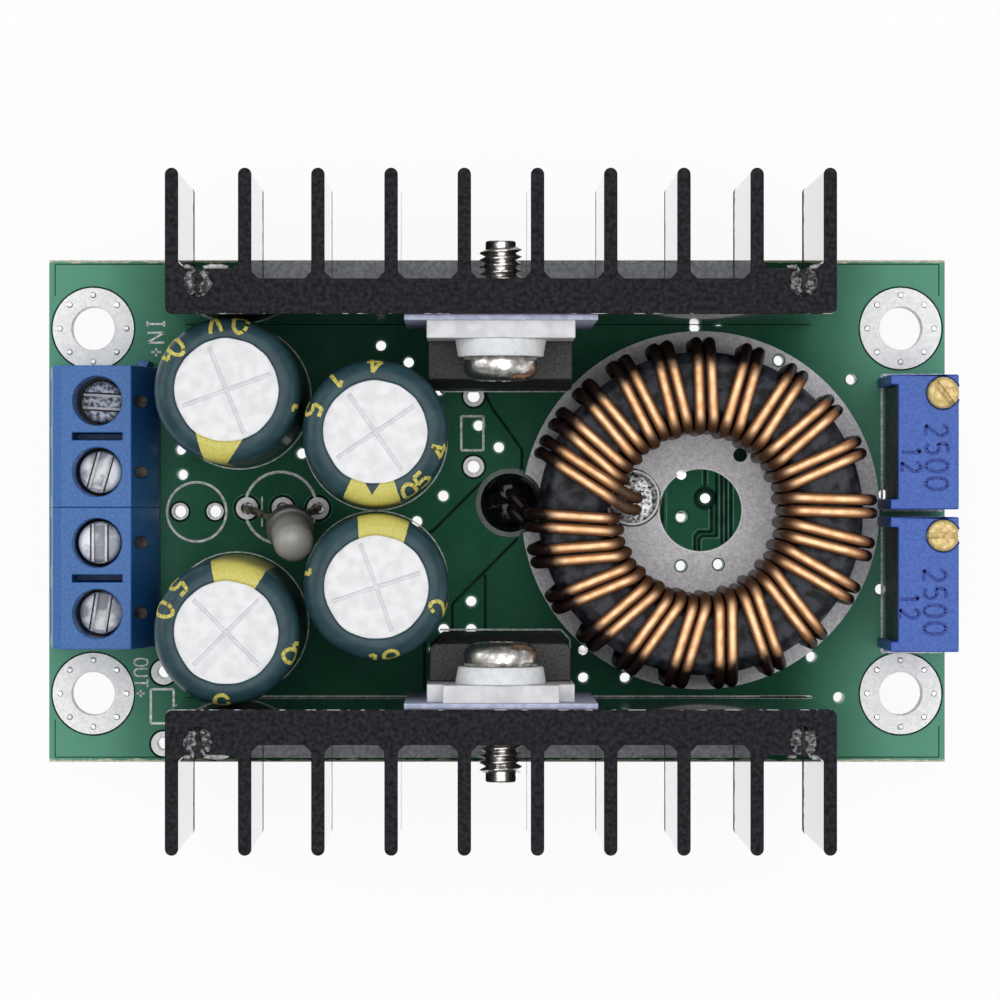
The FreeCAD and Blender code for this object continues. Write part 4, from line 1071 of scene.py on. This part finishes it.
# %% Sleeve film
STRIPE_TURNS = [-99, -93, 84, 80]
STRIPE_HALVES = [(1.7, 0.85), (1.5, 2.05), (1.6, 1.85), (1.45, 2.0)]
NOTCHES = [0, 1, 0, 0]
YELLOW = (0.6, 0.55, 0.14, 1)
DISC_R = 3.56
SLEEVE_RIM = [(5.05, CAN_TOP - 1.3), (5.02, CAN_TOP - 0.9), (4.93, CAN_TOP - 0.52), (4.75, CAN_TOP - 0.22),
              (4.45, CAN_TOP + 0.02), (4.05, CAN_TOP + 0.16), (3.68, CAN_TOP + 0.2)]


def sleeve_material(index, centre, stripe_turn, halves, notch):
    """Slate film with a stripe that changes its width over the rim."""
    material, tree, shader = start_material(f"sleeve_film_{index}", (0.02, 0.045, 0.055), 0.3,
                                            Specular_IOR_Level=0.3)
    mask, normal = grain(tree, 1.0, 0.12, detail=3.0)
    film = blend_colours(tree, steps_of(tree, mask, 0.3, 0.7), (0.016, 0.045, 0.056, 1),
                         (0.026, 0.068, 0.082, 1))
    turned = add(tree, "ShaderNodeVectorRotate", {"rotation_type": "Z_AXIS"},
                 Vector=measured_from(tree, (*centre, 0)), Angle=math.radians(-stripe_turn))
    parts = add(tree, "ShaderNodeSeparateXYZ", Vector=turned.outputs[0])
    radius = flat_radius(tree, parts.outputs)
    share = maths(tree, "DIVIDE", maths(tree, "SUBTRACT", radius, DISC_R), 1.5)
    half = maths(tree, "MULTIPLY_ADD", maths(tree, "MAXIMUM", share, 0.0), halves[1] - halves[0], halves[0])
    wander, _ = grain(tree, 3.0, 0.1)
    across = maths(tree, "MULTIPLY_ADD", wander, 0.1, maths(tree, "ABSOLUTE", parts.outputs[1]))
    stripe = maths(tree, "MULTIPLY", maths(tree, "LESS_THAN", across, half),
                   maths(tree, "GREATER_THAN", parts.outputs[0], 0.0))
    cut = maths(tree, "GREATER_THAN", across, maths(tree, "MULTIPLY_ADD", radius, -0.65 * notch,
                                                    2.86 * notch))
    stripe = maths(tree, "MULTIPLY", stripe, cut)
    ink, _ = grain(tree, 5.0, 0.1, detail=2.0)
    yellow = blend_colours(tree, steps_of(tree, ink, 0.25, 0.6), (0.52, 0.46, 0.1, 1), YELLOW)
    tree.links.new(blend_colours(tree, stripe, film, yellow), shader.inputs["Base Color"])
    tree.links.new(normal, shader.inputs["Normal"])
    return material


def sleeve():
    """The film about the upright axis: up the side, over the rim and down to the disc."""
    outside = rounded([(4.7, 1.62), (5.05, 1.7), (5.05, 2.75), (4.72, 3.15), (4.72, 3.5), (5.05, 3.95)]
                      + SLEEVE_RIM + [(DISC_R, CAN_TOP + 0.04)], 0.2)
    inside = rounded([(3.62, CAN_TOP - 0.05), (4.2, CAN_TOP - 0.08), (4.6, CAN_TOP - 0.35),
                      (4.84, CAN_TOP - 1.2),
                      (4.84, 3.9), (4.5, 3.5), (4.5, 3.1), (4.84, 2.8), (4.84, 1.9), (4.66, 1.7)], 0.3)
    bm = bmesh.new()
    lathe(bm, outside + inside, steps=72, closed=True)
    dice = random.Random(7)
    shift = dice.random() * 9
    for vert in bm.verts:
        if vert.co.z > CAN_TOP and vert.co.xy.length < 4.0:
            vert.co.xy *= 1 + 0.02 * noise.noise(Vector((vert.co.x, vert.co.y, shift)) * 0.9)
    return bm


film_values = zip(CAPACITOR_CENTRES, CAN_LEANS, STRIPE_TURNS, STRIPE_HALVES, NOTCHES)
for index, (centre, lean, turn, halves, notch) in enumerate(film_values, 1):
    film = sleeve_material(index, plus(centre, lean), turn, halves, notch)
    shell = sleeve()
    move_form(shell, *centre)
    leaned(shell, index)
    add_piece(f"curled_sleeve_{index}", shell, film, replaces=(f"capacitor_{index}_sleeve",))
softened_piece("capacitor_leads", LEAD_METAL, edge=0.04)

# %% [markdown]
# ## Figures on the rims
#
# Yellow figures run over the rims. Here they are plain numbers that stand for the printed ones. The
# strokes are drawn flat, with one direction round the can and one over the rim, and then every point
# is carried onto the rim's curve.

# %% Yellow figures
FIGURE_INK = grained("yellow_ink", (0.42, 0.36, 0.06), (0.66, 0.58, 0.14), 0.5, scale=5.0, relief=0.1)
RIM = [(r + 0.015, z + 0.01) for r, z in SLEEVE_RIM]
RIM_FIGURES = [
    [("0", 78, 1.5), ("V", 100, 1.5), ("0", 140, 1.6), ("1", 152, 1.0), ("1", -14, 0.7)],
    [("5", 160, 1.5), ("1", 127, 1.6), ("4", 90, 1.4), ("4", -16, 1.5), ("5", -46, 1.4), ("0", -60, 1.3)],
    [("2", -18, 1.6), ("0", -78, 1.0), ("1", -92, 0.8), ("1", 168, 0.8)],
    [("5", 136, 1.5), ("0", 160, 1.6), ("0", -20, 1.3), ("1", -10, 0.7), ("0", -94, 1.2)],
]


def over_rim(run):
    """The (radius, height) of a point after a run over the rim from the flank."""
    for (r1, z1), (r2, z2) in zip(RIM, RIM[1:]):
        length = math.hypot(r2 - r1, z2 - z1)
        if run <= length:
            t = run / length
            return r1 + (r2 - r1) * t, z1 + (z2 - z1) * t
        run -= length
    return RIM[-1]


def rim_figures(centre, figures):
    """Strokes carried onto the rim of one can."""
    bm = bmesh.new()
    for figure, turn, height in figures:
        for stroke in LETTERS[figure]:
            fine = []
            for start, end in zip(stroke, stroke[1:]):
                fine += [tuple(Vector(start).lerp(Vector(end), k / 4)) for k in range(4)]
            fine.append(stroke[-1])
            for start, end in zip(fine, fine[1:]):
                flat = bmesh.new()
                strip(flat, (start[0] * 1.3, start[1] * height), (end[0] * 1.3, end[1] * height), 0.27, 0,
                      0.012)
                for vert in flat.verts:
                    r, z = over_rim(0.5 + vert.co.y)
                    angle = math.radians(turn) + (vert.co.x - 0.45) / 4.6
                    lift = vert.co.z
                    vert.co = Vector((centre[0] + (r + lift) * math.cos(angle),
                                      centre[1] + (r + lift) * math.sin(angle), z + lift))
                holder = bpy.data.meshes.new("figure_stroke")
                flat.to_mesh(holder)
                flat.free()
                bm.from_mesh(holder)
                bpy.data.meshes.remove(holder)
    return bm


for index, (centre, figures) in enumerate(zip(CAPACITOR_CENTRES, RIM_FIGURES), 1):
    ink = leaned(rim_figures(centre, figures), index)
    add_piece(f"rim_figures_{index}", ink, FIGURE_INK, weld=1e-6)

# %% [markdown]
# ## Choke
#
# Two enamelled wires run side by side through a powder-coated ring, 22 turns each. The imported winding
# has mitred corners, so that it stays light. Here the same corner points are rounded and a round
# section follows them. Inside the eye the wires stand side by side round the whole circle. The last
# turn climbs over its neighbour to reach the inner pad.

# %% Ring and winding
CHOKE_CENTRE = Vector((14.33, -0.15, 0))
WIRE_R = 0.4
LOW, HIGH = 2.96, 12.1
OUTER_R, INNER_R, END_R = 12.09, 6.08, 4.67
OUTER_BEND, INNER_BEND, RISE, INNER_STEP = 1.1, 0.6, 0.86, 0.15
TURN_ANGLES = [
    182.2, 194.7, 211.6, 228.9, 244.1, 261.2, 278.1, 295.5, 312.7, 332.0, 347.8,
    362.3, 382.8, 399.4, 415.7, 432.3, 449.4, 463.7, 478.3, 493.0, 506.0, 516.8,
]
FIRST_INNER_ANGLE, INNER_WIRE_STEP = 182.9, 8.13
END_ANGLES = (526.5, 536.7)
CORE = grained("core_powder_coat", (0.003, 0.003, 0.004), (0.03, 0.033, 0.046), 0.5, scale=1.1, relief=0.5,
               rough_swing=0.15, detail=9.0, low=0.38, high=0.62, Specular_IOR_Level=0.25)
softened_piece("choke_core", CORE, edge=0.25, segments=3, sharp=20)


def round_core(radius, angle, z):
    """A point at a radius and angle from the choke's axis."""
    a = math.radians(angle)
    return CHOKE_CENTRE + Vector((radius * math.cos(a), radius * math.sin(a), z))


def wire_corners(strand):
    """Corner points of one wire from its outer pad to its inner pad."""
    inner_r = INNER_R - strand * INNER_STEP
    step = math.degrees((WIRE_R + 0.07) / OUTER_R)
    outward = step if strand else -step
    side = (strand - 0.5) * 1.15
    points = [Vector((0.87, 0.82 - side, -0.9)), Vector((0.87, 0.82 - side, LOW))]
    for turn, outer_angle in enumerate(TURN_ANGLES):
        outer = outer_angle + outward
        inner = FIRST_INNER_ANGLE + (2 * turn + strand) * INNER_WIRE_STEP
        top = HIGH
        if turn == len(TURN_ANGLES) - 1:
            inner, inner_r, top = END_ANGLES[strand], END_R, HIGH + RISE
        points += [
            round_core(OUTER_R, outer, LOW),
            round_core(OUTER_R, outer, HIGH - OUTER_BEND),
            round_core(OUTER_R - OUTER_BEND, outer + 0.1 * (inner - outer), HIGH),
            round_core(inner_r + INNER_BEND, inner, top),
            round_core(inner_r, inner, top - INNER_BEND),
            round_core(inner_r, inner, LOW - strand * RISE),
        ]
    points[-1] = round_core(END_R, inner, -0.9)
    return points


def wire_bmesh(points, radius, bend, sides=4, steps=4):
    """A round wire through corner points, with its corners rounded."""
    path = rounded([tuple(point) for point in points], bend, steps)
    curve = bpy.data.curves.new("wire_path", "CURVE")
    curve.dimensions = "3D"
    curve.bevel_depth = radius
    curve.bevel_resolution = sides
    curve.use_fill_caps = True
    spline = curve.splines.new("POLY")
    spline.points.add(len(path) - 1)
    for point, place in zip(spline.points, path):
        point.co = (*place, 1)
    holder = bpy.data.objects.new("wire_holder", curve)
    bpy.context.scene.collection.objects.link(holder)
    bpy.context.view_layer.update()
    result = holder.evaluated_get(bpy.context.evaluated_depsgraph_get())
    bm = bmesh.new()
    bm.from_mesh(result.to_mesh())
    result.to_mesh_clear()
    bpy.data.objects.remove(holder)
    bpy.data.curves.remove(curve)
    return bm


def painted_light_copper_material():
    """Enamelled copper with painted light: a painted highlight along the tops of the wires on the ring, and
    painted shade that turns the bends, the sides and the eye nearly black.
    """
    material, tree, shader = start_material("enamelled_copper", (0.7, 0.3, 0.12), 0.42, 0.6,
                                            Specular_IOR_Level=0.3)
    mask, normal = grain(tree, 1.3, 0.1, detail=5.0, stretch=(1, 1, 1))
    line = blend_colours(tree, steps_of(tree, mask, 0.3, 0.7), (0.74, 0.4, 0.19, 1), (1.0, 0.66, 0.38, 1))
    parts = add(tree, "ShaderNodeSeparateXYZ", Vector=measured_from(tree, CHOKE_CENTRE))
    radius = flat_radius(tree, parts.outputs)
    facing = facing_up(tree)
    # Painted highlight: lighter copper where the wire faces straight up.
    bright = blend_colours(tree, steps_of(tree, facing, 0.72, 0.985), (0.4, 0.17, 0.07, 1), line)
    # Painted shade: only the upward-facing tops at the ring's top keep the copper colour.
    top = maths(tree, "MULTIPLY", steps_of(tree, facing, 0.25, 0.6),
                steps_of(tree, parts.outputs[2], 11.4, 12.2))
    # The painted shade of the outer bends starts further out on the right side.
    less_shade_to_right = steps_of(tree, parts.outputs[0], 3.0, 10.0)
    ragged = maths(tree, "MULTIPLY_ADD", less_shade_to_right, -1.7, maths(tree, "MULTIPLY_ADD", mask, 1.4, radius))
    inside = maths(tree, "SUBTRACT", 1.0, steps_of(tree, ragged, 10.7, 11.9))
    # Painted shade down the inside of the eye.
    clear_of_painted_eye_shade = steps_of(tree, radius, 6.0, 7.3)
    share = maths(tree, "MULTIPLY", maths(tree, "MULTIPLY", top, inside), clear_of_painted_eye_shade)
    # The painted shade darkens further towards the outer bends.
    outward = steps_of(tree, radius, 7.5, 10.0)
    dark = blend_colours(tree, outward, (0.065, 0.028, 0.013, 1), (0.01, 0.004, 0.003, 1))
    tree.links.new(blend_colours(tree, share, dark, bright), shader.inputs["Base Color"])
    tree.links.new(maths(tree, "MULTIPLY", share, 0.6), shader.inputs["Metallic"])
    tree.links.new(normal, shader.inputs["Normal"])
    return material


COPPER_WIRE_PAINTED_LIGHT = painted_light_copper_material()
for strand, node in enumerate(("choke_winding_first", "choke_winding_second")):
    wire = wire_bmesh(wire_corners(strand), WIRE_R, 0.85)
    add_piece(f"round_wire_{strand + 1}", wire, COPPER_WIRE_PAINTED_LIGHT, replaces=(node,), sharp=50)

# %% [markdown]
# ## Choke pads
#
# The wires come down to two wide pads. The outer one is drowned in glossy varnish with a ring of flux
# round it, and the varnish is painted near black for the shade the choke casts on it; the inner one
# shows a bright solder crescent. Both are low domes roughened a little.

# %% Pads of the choke
FLUX = grained("dried_flux", (0.004, 0.02, 0.01), (0.012, 0.05, 0.025), 0.2, scale=1.0, relief=0.3)
# Near-black varnish: its darkness is painted shade from the choke above, laid on the real drop.
VARNISH_AND_SHADE = grained("black_varnish_and_painted_shade", (0.002, 0.002, 0.003), (0.008, 0.007, 0.007), 0.12, scale=1.6, relief=0.6,
                  Specular_IOR_Level=0.35)
PITTED = grained("pitted_solder", (0.04, 0.04, 0.045), (0.85, 0.85, 0.86), 0.3, scale=3.6, relief=0.8,
                 metallic=0.4,
                 detail=9.0, low=0.36, high=0.6)


def dome(bm, centre, radius, z, height, seed, flatness=0.5):
    """A low uneven dome on the board."""
    profile = [(radius * share, z + height * (1 - share ** 2) ** flatness) for share in (1, 0.93, 0.8, 0.6,
                                                                                         0.35, 0.15, 0)]
    before = set(bm.verts)
    lathe(bm, [(0, z - 0.01)] + [(radius, z - 0.01)] + profile, centre, 40)
    for vert in set(bm.verts) - before:
        if vert.co.z > z:
            vert.co.z = z + (vert.co.z - z) * (1 + 0.3 * noise.noise(Vector((vert.co.x, vert.co.y,
                                                                             seed)) * 1.3))
            middle = Vector(centre)
            vert.co.xy = middle + (vert.co.xy - middle) * (1 + 0.09 * noise.noise(Vector((*vert.co.xy,
                                                                                          seed + 3)) * 0.8))


for name, material, slot, centre, radius, height, seed in (
        ("outer_pad_flux", FLUX, "board", (0.95, 0.6), 2.5, 0.05, 1),
        ("outer_pad_varnish_painted_dark", VARNISH_AND_SHADE, "potting", (0.95, 0.6), 2.15, 1.3, 2),
        ("inner_pad_gap", VARNISH_AND_SHADE, "board", END_PAD, 2.2, 0.05, 5),
        ("inner_pad_solder", PITTED, "solder", END_PAD, 1.9, 0.3, 3)):
    pad = bmesh.new()
    dome(pad, centre, radius, BOARD_TOP + 0.03, height, seed)
    add_piece(name, pad, material)

# %% [markdown]
# ## Screw terminals
#
# Two two-way blocks hold the supply and load wires. The housings are moulded polyamide with soft
# edges. Each slotted screw turns in the block and drives a plate down on the wire. Screws and plates
# are separate here, since they move: each rides its own body.
# A driver has pushed up a burr on both sides of every slot, and beside each burr lies a dark strip of
# painted shade. The cages inside the housings are painted dark for the shade in there.

# %% Terminal blocks
TERMINAL_BLUE = grained("blue_polyamide", (0.013, 0.1, 0.33), (0.022, 0.13, 0.39), 0.4, scale=5.0,
                        relief=0.1, detail=3.0)
CONTACT = grained("tinned_brass_contact", (0.16, 0.13, 0.09), (0.34, 0.3, 0.23), 0.45, scale=1.6,
                  relief=0.25,
                  metallic=0.85)
# Dark brown painted shade, for metal deep in the housings and for the strips beside the slots.
SHADED_CONTACT = grained("painted_shade_contact", (0.012, 0.008, 0.006), (0.05, 0.035, 0.025), 0.6, scale=1.6,
                         relief=0.25)
ZINC = grained("zinc_plated_screw", (0.42, 0.43, 0.46), (1.0, 1.0, 1.0), 0.4, scale=0.6, relief=0.3,
               metallic=0.1, rough_swing=0.15, detail=8.0, low=0.4, high=0.56)
DULL_ZINC = grained("dulled_screw", (0.05, 0.065, 0.11), (0.6, 0.66, 0.76), 0.4, scale=3.6, relief=0.3,
                    metallic=0.2, detail=9.0, low=0.35, high=0.62)
BURR = grained("driven_burr", (0.75, 0.76, 0.77), (0.97, 0.97, 0.98), 0.35, scale=3.0, relief=0.3)
for index in (1, 2):
    softened_piece(f"terminal_housing_{index}", TERMINAL_BLUE, edge=0.09, segments=2)
# The cages are painted near black for the shade inside the housings.
softened_piece("terminal_cages", SHADED_CONTACT, edge=0.06)
print("cage top, mm:", round(box_mm("terminal_cages")[1].z, 2))


def slotted_screw(radius, top, low, slot_width, slot_depth, turn):
    """An upright headless screw with a slot, its thread lying in its flank."""
    profile = rounded([(0, low), (radius - 0.35, low), (radius - 0.12, low + 0.3),
                       (radius - 0.12, top - 0.5),
                       (radius, top - 0.4), (radius, top - 0.14), (radius - 0.2, top), (0, top)], 0.12)
    bm = bmesh.new()
    lathe(bm, profile, steps=48)
    slot = bmesh.new()
    block(slot, (-radius - 0.2, -slot_width / 2, top - slot_depth),
          (radius + 0.2, slot_width / 2, top + 0.5))
    turn_form(slot, turn)
    bm = carved(bm, slot)
    helix(bm, radius - 0.28, radius, 0.35, low + 0.2, top - 0.45)
    return bm


def slot_marks(centre, radius, top, slot_width, turn, low, high, lift):
    """Two bars that lie along a slot on its two sides, from low to high beside the slot's edge."""
    bm = bmesh.new()
    far = slot_width / 2 + high
    reach = math.sqrt(radius ** 2 - far ** 2) - 0.06
    for side in (-1, 1):
        near, wide = side * (slot_width / 2 + low), side * far
        block(bm, (-reach, min(near, wide), top - 0.1), (reach, max(near, wide), top + lift), 0.02)
    turn_form(bm, turn)
    move_form(bm, *centre)
    return bm


PROBE_HOLES = [(-25.3, y) for y in (7.78, 2.78, -2.22, -7.22)]


def probe_contacts():
    """The ends of the cages at the bottom of the probe holes, painted dark brown for the shade down the
    holes.
    """
    bm = bmesh.new()
    for place in PROBE_HOLES:
        ring_plate(bm, place, 0.02, 0.42, 8.22, 8.8, 16)
    return bm


add_piece("probe_contacts", probe_contacts(), SHADED_CONTACT)
SLOT_TURNS = [-3, 74, 90, 81]
for index, turn in enumerate(SLOT_TURNS, 1):
    low, high = box_mm(f"terminal_screw_{index}")
    screw = slotted_screw((high.x - low.x) / 2, high.z, low.z, 0.75, 0.8, turn)
    middle = (low + high) / 2
    move_form(screw, middle.x, middle.y)
    size = (middle.xy, (high.x - low.x) / 2, high.z, 0.75, turn)
    add_piece(f"slot_burrs_{index}", slot_marks(*size, 0.0, 0.17, 0.05), BURR,
              body=f"clamp_{index}_screw")
    # The dark strips beside the burrs are painted shade along the slot.
    add_piece(f"slot_painted_shade_{index}", slot_marks(*size, 0.18, 0.3, 0.01), SHADED_CONTACT,
              body=f"clamp_{index}_screw")
    add_piece(f"slotted_screw_{index}", screw, DULL_ZINC if index == 1 else ZINC,
              body=f"clamp_{index}_screw",
              replaces=(f"terminal_screw_{index}",), weld=2e-3)
    softened_piece(f"pressure_plate_{index}", CONTACT, edge=0.05,
                   body=f"clamp_{index}_plate")

# %% [markdown]
# ## Trimmers
#
# Two multiturn trimmers set voltage and current. The case is violet-blue with small feet, the open
# side is filled with dark resin, and a brass screw turns in one corner. The resin shrank as it cured,
# so its face is matt and a little hollow.

# %% Trimmers
TRIMMER_BLUE = grained("violet_blue_case", (0.018, 0.08, 0.37), (0.03, 0.105, 0.46), 0.42, scale=6.0,
                       relief=0.15, detail=3.0)
RESIN = grained("dark_resin", (0.007, 0.016, 0.02), (0.02, 0.04, 0.048), 0.5, scale=1.1, relief=0.3)
BRASS = grained("turned_brass", (0.5, 0.36, 0.13), (0.72, 0.55, 0.25), 0.45, scale=2.4, relief=0.25,
                metallic=0.3,
                rough_swing=0.15)
TRIMMER_TURNS = [-52, 0]
for index, turn in enumerate(TRIMMER_TURNS, 1):
    softened_piece(f"trimmer_{index}_housing", TRIMMER_BLUE, edge=0.12, segments=3)
    softened_piece(f"trimmer_{index}_potting", RESIN, edge=0.08)
    low, high = box_mm(f"trimmer_{index}_screw")
    screw = slotted_screw((high.x - low.x) / 2, high.z, low.z, 0.45, 0.6, turn)
    middle = (low + high) / 2
    move_form(screw, middle.x, middle.y)
    add_piece(f"brass_adjuster_{index}", screw, BRASS, body=f"trimmer_{index}_adjuster",
              replaces=(f"trimmer_{index}_screw",), weld=2e-3)
softened_piece("trimmer_pins", LEAD_METAL, edge=0.03)
STAMP_INK = grained("dark_stamp_ink", (0.006, 0.03, 0.2), (0.02, 0.06, 0.34), 0.6, scale=5.0, relief=0.1)


def stamps():
    """Plain numbers stamped on the cases, a large one and a small one on each."""
    bm = bmesh.new()
    z = box_mm("trimmer_1_housing")[1].z
    for text, corner, height in (("2500", (926, 425), 1.55), ("12", (902, 447), 1.35),
                                 ("2500", (924, 570), 1.55), ("12", (900, 594), 1.35)):
        word(bm, text, at_height(*corner, z - BOARD_TOP), height, squeeze=0.72, width=0.27, z=z,
             z_high=z + 0.008)
    return bm


add_piece("stamped_numbers", stamps(), STAMP_INK, weld=1e-6)

# %% [markdown]
# ## Indicator lamp
#
# A small lamp with three legs leans over the board. Its lens is frosted grey epoxy with a round dome
# and a collar. Light passes through it, so the shader lets part of the light in and scatters it.

# %% Lamp
LAMP_BASE = Vector((-14.87, -1.03, 6.6))
LAMP_LEAN = Vector((0.57, -1.62, 4.0)).normalized()


def lens_material():
    """Frosted epoxy that lets the dark legs show near its foot."""
    material, tree, shader = start_material("frosted_epoxy", (0.5, 0.49, 0.46), 0.3, Transmission_Weight=0.2,
                                            IOR=1.5, Coat_Weight=0.3)
    mask, normal = grain(tree, 1.2, 0.12, detail=5.0)
    along = add(tree, "ShaderNodeVectorMath", {"operation": "DOT_PRODUCT"},
                i0=measured_from(tree, LAMP_BASE), i1=tuple(LAMP_LEAN))
    tip = steps_of(tree, maths(tree, "MULTIPLY_ADD", mask, 0.8, along.outputs[1]), 0.9, 2.8)
    tree.links.new(blend_colours(tree, tip, (0.1, 0.105, 0.095, 1), (0.52, 0.5, 0.46, 1)),
                   shader.inputs["Base Color"])
    tree.links.new(normal, shader.inputs["Normal"])
    return material


LENS = lens_material()


def lamp():
    """Lens and collar about the upright axis, then leaned over."""
    profile = rounded([(0, 0), (1.7, 0), (1.7, 0.9), (1.45, 0.92), (1.45, 3.0), (1.4, 3.4), (1.15, 3.9),
                       (0.7, 4.2),
                       (0.3, 4.29), (0, 4.3)], 0.15)
    bm = bmesh.new()
    lathe(bm, profile, steps=48)
    turn = Vector((0, 0, 1)).rotation_difference(LAMP_LEAN).to_matrix()
    bmesh.ops.rotate(bm, cent=(0, 0, 0), matrix=turn, verts=bm.verts)
    bmesh.ops.translate(bm, vec=LAMP_BASE, verts=bm.verts)
    return bm


add_piece("lamp_lens", lamp(), LENS, replaces=("indicator_lamp",))
LEG_METAL = grained("flux_browned_lead", (0.05, 0.035, 0.02), (0.5, 0.4, 0.26), 0.35, scale=1.6, relief=0.3,
                    metallic=0.6)
softened_piece("indicator_leads", LEG_METAL, edge=0.05)

# %% [markdown]
# ## Solder joints
#
# Under the board every lead stands in a small cone of solder with hollow flanks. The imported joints
# are plain drops, so each one is turned again at its own place and width with a hollow profile.

# %% Solder cones
def solder_cones():
    """A hollow-sided cone at each packed joint."""
    bm = bmesh.new()
    for low, high in joints:
        middle = (low + high) / 2
        outer = (high.x - low.x) / 2
        deep = high.z - low.z
        profile = [(0, high.z), (outer, high.z), (outer * 0.98, high.z - 0.06 * deep),
                   (outer * 0.72, high.z - 0.25 * deep), (outer * 0.52, high.z - 0.55 * deep),
                   (outer * 0.42, high.z - 0.82 * deep), (outer * 0.26, high.z - 0.97 * deep), (0, low.z)]
        lathe(bm, rounded(profile, 0.2, 2), middle.xy, 20)
    return bm


add_piece("solder_cones", solder_cones(), SOLDER, replaces=("solder_joints",), sharp=70)

# %% [markdown]
# ## Small parts underneath
#
# The photograph doesn't show the underside. Boards of this kind carry the control circuit there: an
# eight-lead amplifier, a small regulator, a current shunt and chip resistors and capacitors. Chips
# have tinned ends that wrap round the body, so each one is a body with two caps.

# %% Underside parts
CHIP_BLACK = grained("chip_glaze", (0.008, 0.008, 0.009), (0.02, 0.02, 0.022), 0.3, scale=4.0)
CHIP_TAN = grained("chip_ceramic", (0.3, 0.2, 0.12), (0.42, 0.3, 0.19), 0.5, scale=5.0)


def chips(node, ends):
    """Bodies or end caps of all chips of a node."""
    bm = bmesh.new()
    for low, high in islands(node):
        axis = 0 if high.x - low.x > high.y - low.y else 1
        cap = 0.22 * (high[axis] - low[axis])
        inner_low, inner_high = low.copy(), high.copy()
        if not ends:
            inner_low += Vector((0.03, 0.03, 0.03))
            inner_high -= Vector((0.03, 0.03, 0.03))
            block(bm, inner_low, inner_high, 0.05)
            continue
        inner_high[axis] = low[axis] + cap
        block(bm, low, inner_high, 0.07)
        inner_low[axis] = high[axis] - cap
        block(bm, inner_low, high, 0.07)
    return bm


for node, material in (("chip_resistors", CHIP_BLACK), ("chip_capacitors", CHIP_TAN)):
    add_piece(f"{node}_bodies", chips(node, False), material, replaces=(node,))
    add_piece(f"{node}_ends", chips(node, True), SOLDER)
softened_piece("amplifier_body", EPOXY, edge=0.08)
softened_piece("supply_body", EPOXY, edge=0.08)
softened_piece("amplifier_leads", LEAD_METAL, edge=0.03)
softened_piece("supply_leads", LEAD_METAL, edge=0.03)
softened_piece("shunt_resistor", CHIP_BLACK, edge=0.06)
softened_piece("shunt_end_caps", SOLDER, edge=0.06)

# %% [markdown]
# ## Stage, lamps and camera
#
# The photograph was taken from straight above against plain white. The floor lies at the foot of the
# pins. It shines white to the camera and keeps a share of real light, so the soft shadow stays. Big
# soft lamps overhead make the tops of wires and screws shine, and a pale sky fills the rest.

# %% Floor and light
def white_floor():
    """A large floor that is white to the camera and takes the object's shadow."""
    material, tree, shader = start_material("white_floor", (0.9, 0.9, 0.9), 0.8)
    seen = add(tree, "ShaderNodeLightPath")
    clear = maths(tree, "ADD", seen.outputs["Is Camera Ray"],
                  maths(tree, "ADD", seen.outputs["Is Glossy Ray"], seen.outputs["Is Transmission Ray"]))
    share = maths(tree, "MULTIPLY", maths(tree, "MINIMUM", clear, 1.0), 0.93)
    glow = add(tree, "ShaderNodeEmission", Strength=1.0, Color=(1, 1, 1, 1))
    both = add(tree, "ShaderNodeMixShader", i0=share, i1=shader.outputs[0], i2=glow.outputs[0])
    tree.links.new(both.outputs[0], tree.nodes["Material Output"].inputs["Surface"])
    bm = bmesh.new()
    bmesh.ops.create_grid(bm, x_segments=2, y_segments=2, size=0.4)
    bmesh.ops.translate(bm, vec=(0, 0, cad_lowest.z - 0.0002), verts=bm.verts)
    mesh = bpy.data.meshes.new("white_floor")
    bm.to_mesh(mesh)
    bm.free()
    mesh.materials.append(material)
    floor = bpy.data.objects.new("white_floor", mesh)
    bpy.context.scene.collection.objects.link(floor)


def soft_lamp(name, place, size, power, aim=(0, 0, 0)):
    """A square lamp that points at a place."""
    data = bpy.data.lights.new(name, "AREA")
    data.size = size
    data.energy = power
    made = bpy.data.objects.new(name, data)
    made.location = place
    made.rotation_euler = (Vector(aim) - Vector(place)).to_track_quat("-Z", "Y").to_euler()
    bpy.context.scene.collection.objects.link(made)


white_floor()
soft_lamp("overhead_lamp", (0.02, 0.03, 0.5), 0.6, 2.1)
soft_lamp("left_lamp", (-0.45, 0.1, 0.25), 0.3, 0.5)
soft_lamp("right_lamp", (0.45, -0.1, 0.2), 0.3, 0.2)
sky = bpy.data.worlds.new("pale_sky")
sky.use_nodes = True
sky.node_tree.nodes["Background"].inputs["Color"].default_value = (1, 1, 1, 1)
sky.node_tree.nodes["Background"].inputs["Strength"].default_value = 0.35
bpy.context.scene.world = sky

# %% [markdown]
# ## Camera
#
# The camera hangs a little left of the middle and looks straight down from 32 cm, so the parts lean
# away from the middle as they do in the photograph. A small sideways shift puts the board where the
# photograph has it.

# %% Camera
CAMERA_PLACE = (-2.9, 0.8, 321.6)
view = bpy.data.cameras.new("top_camera")
view.lens = 158.7
view.sensor_width = 36
view.shift_x = 0.043
watcher = bpy.data.objects.new("top_camera", view)
watcher.location = Vector(CAMERA_PLACE) * MM
bpy.context.scene.collection.objects.link(watcher)
bpy.context.scene.camera = watcher
bpy.context.scene.view_settings.view_transform = "Standard"
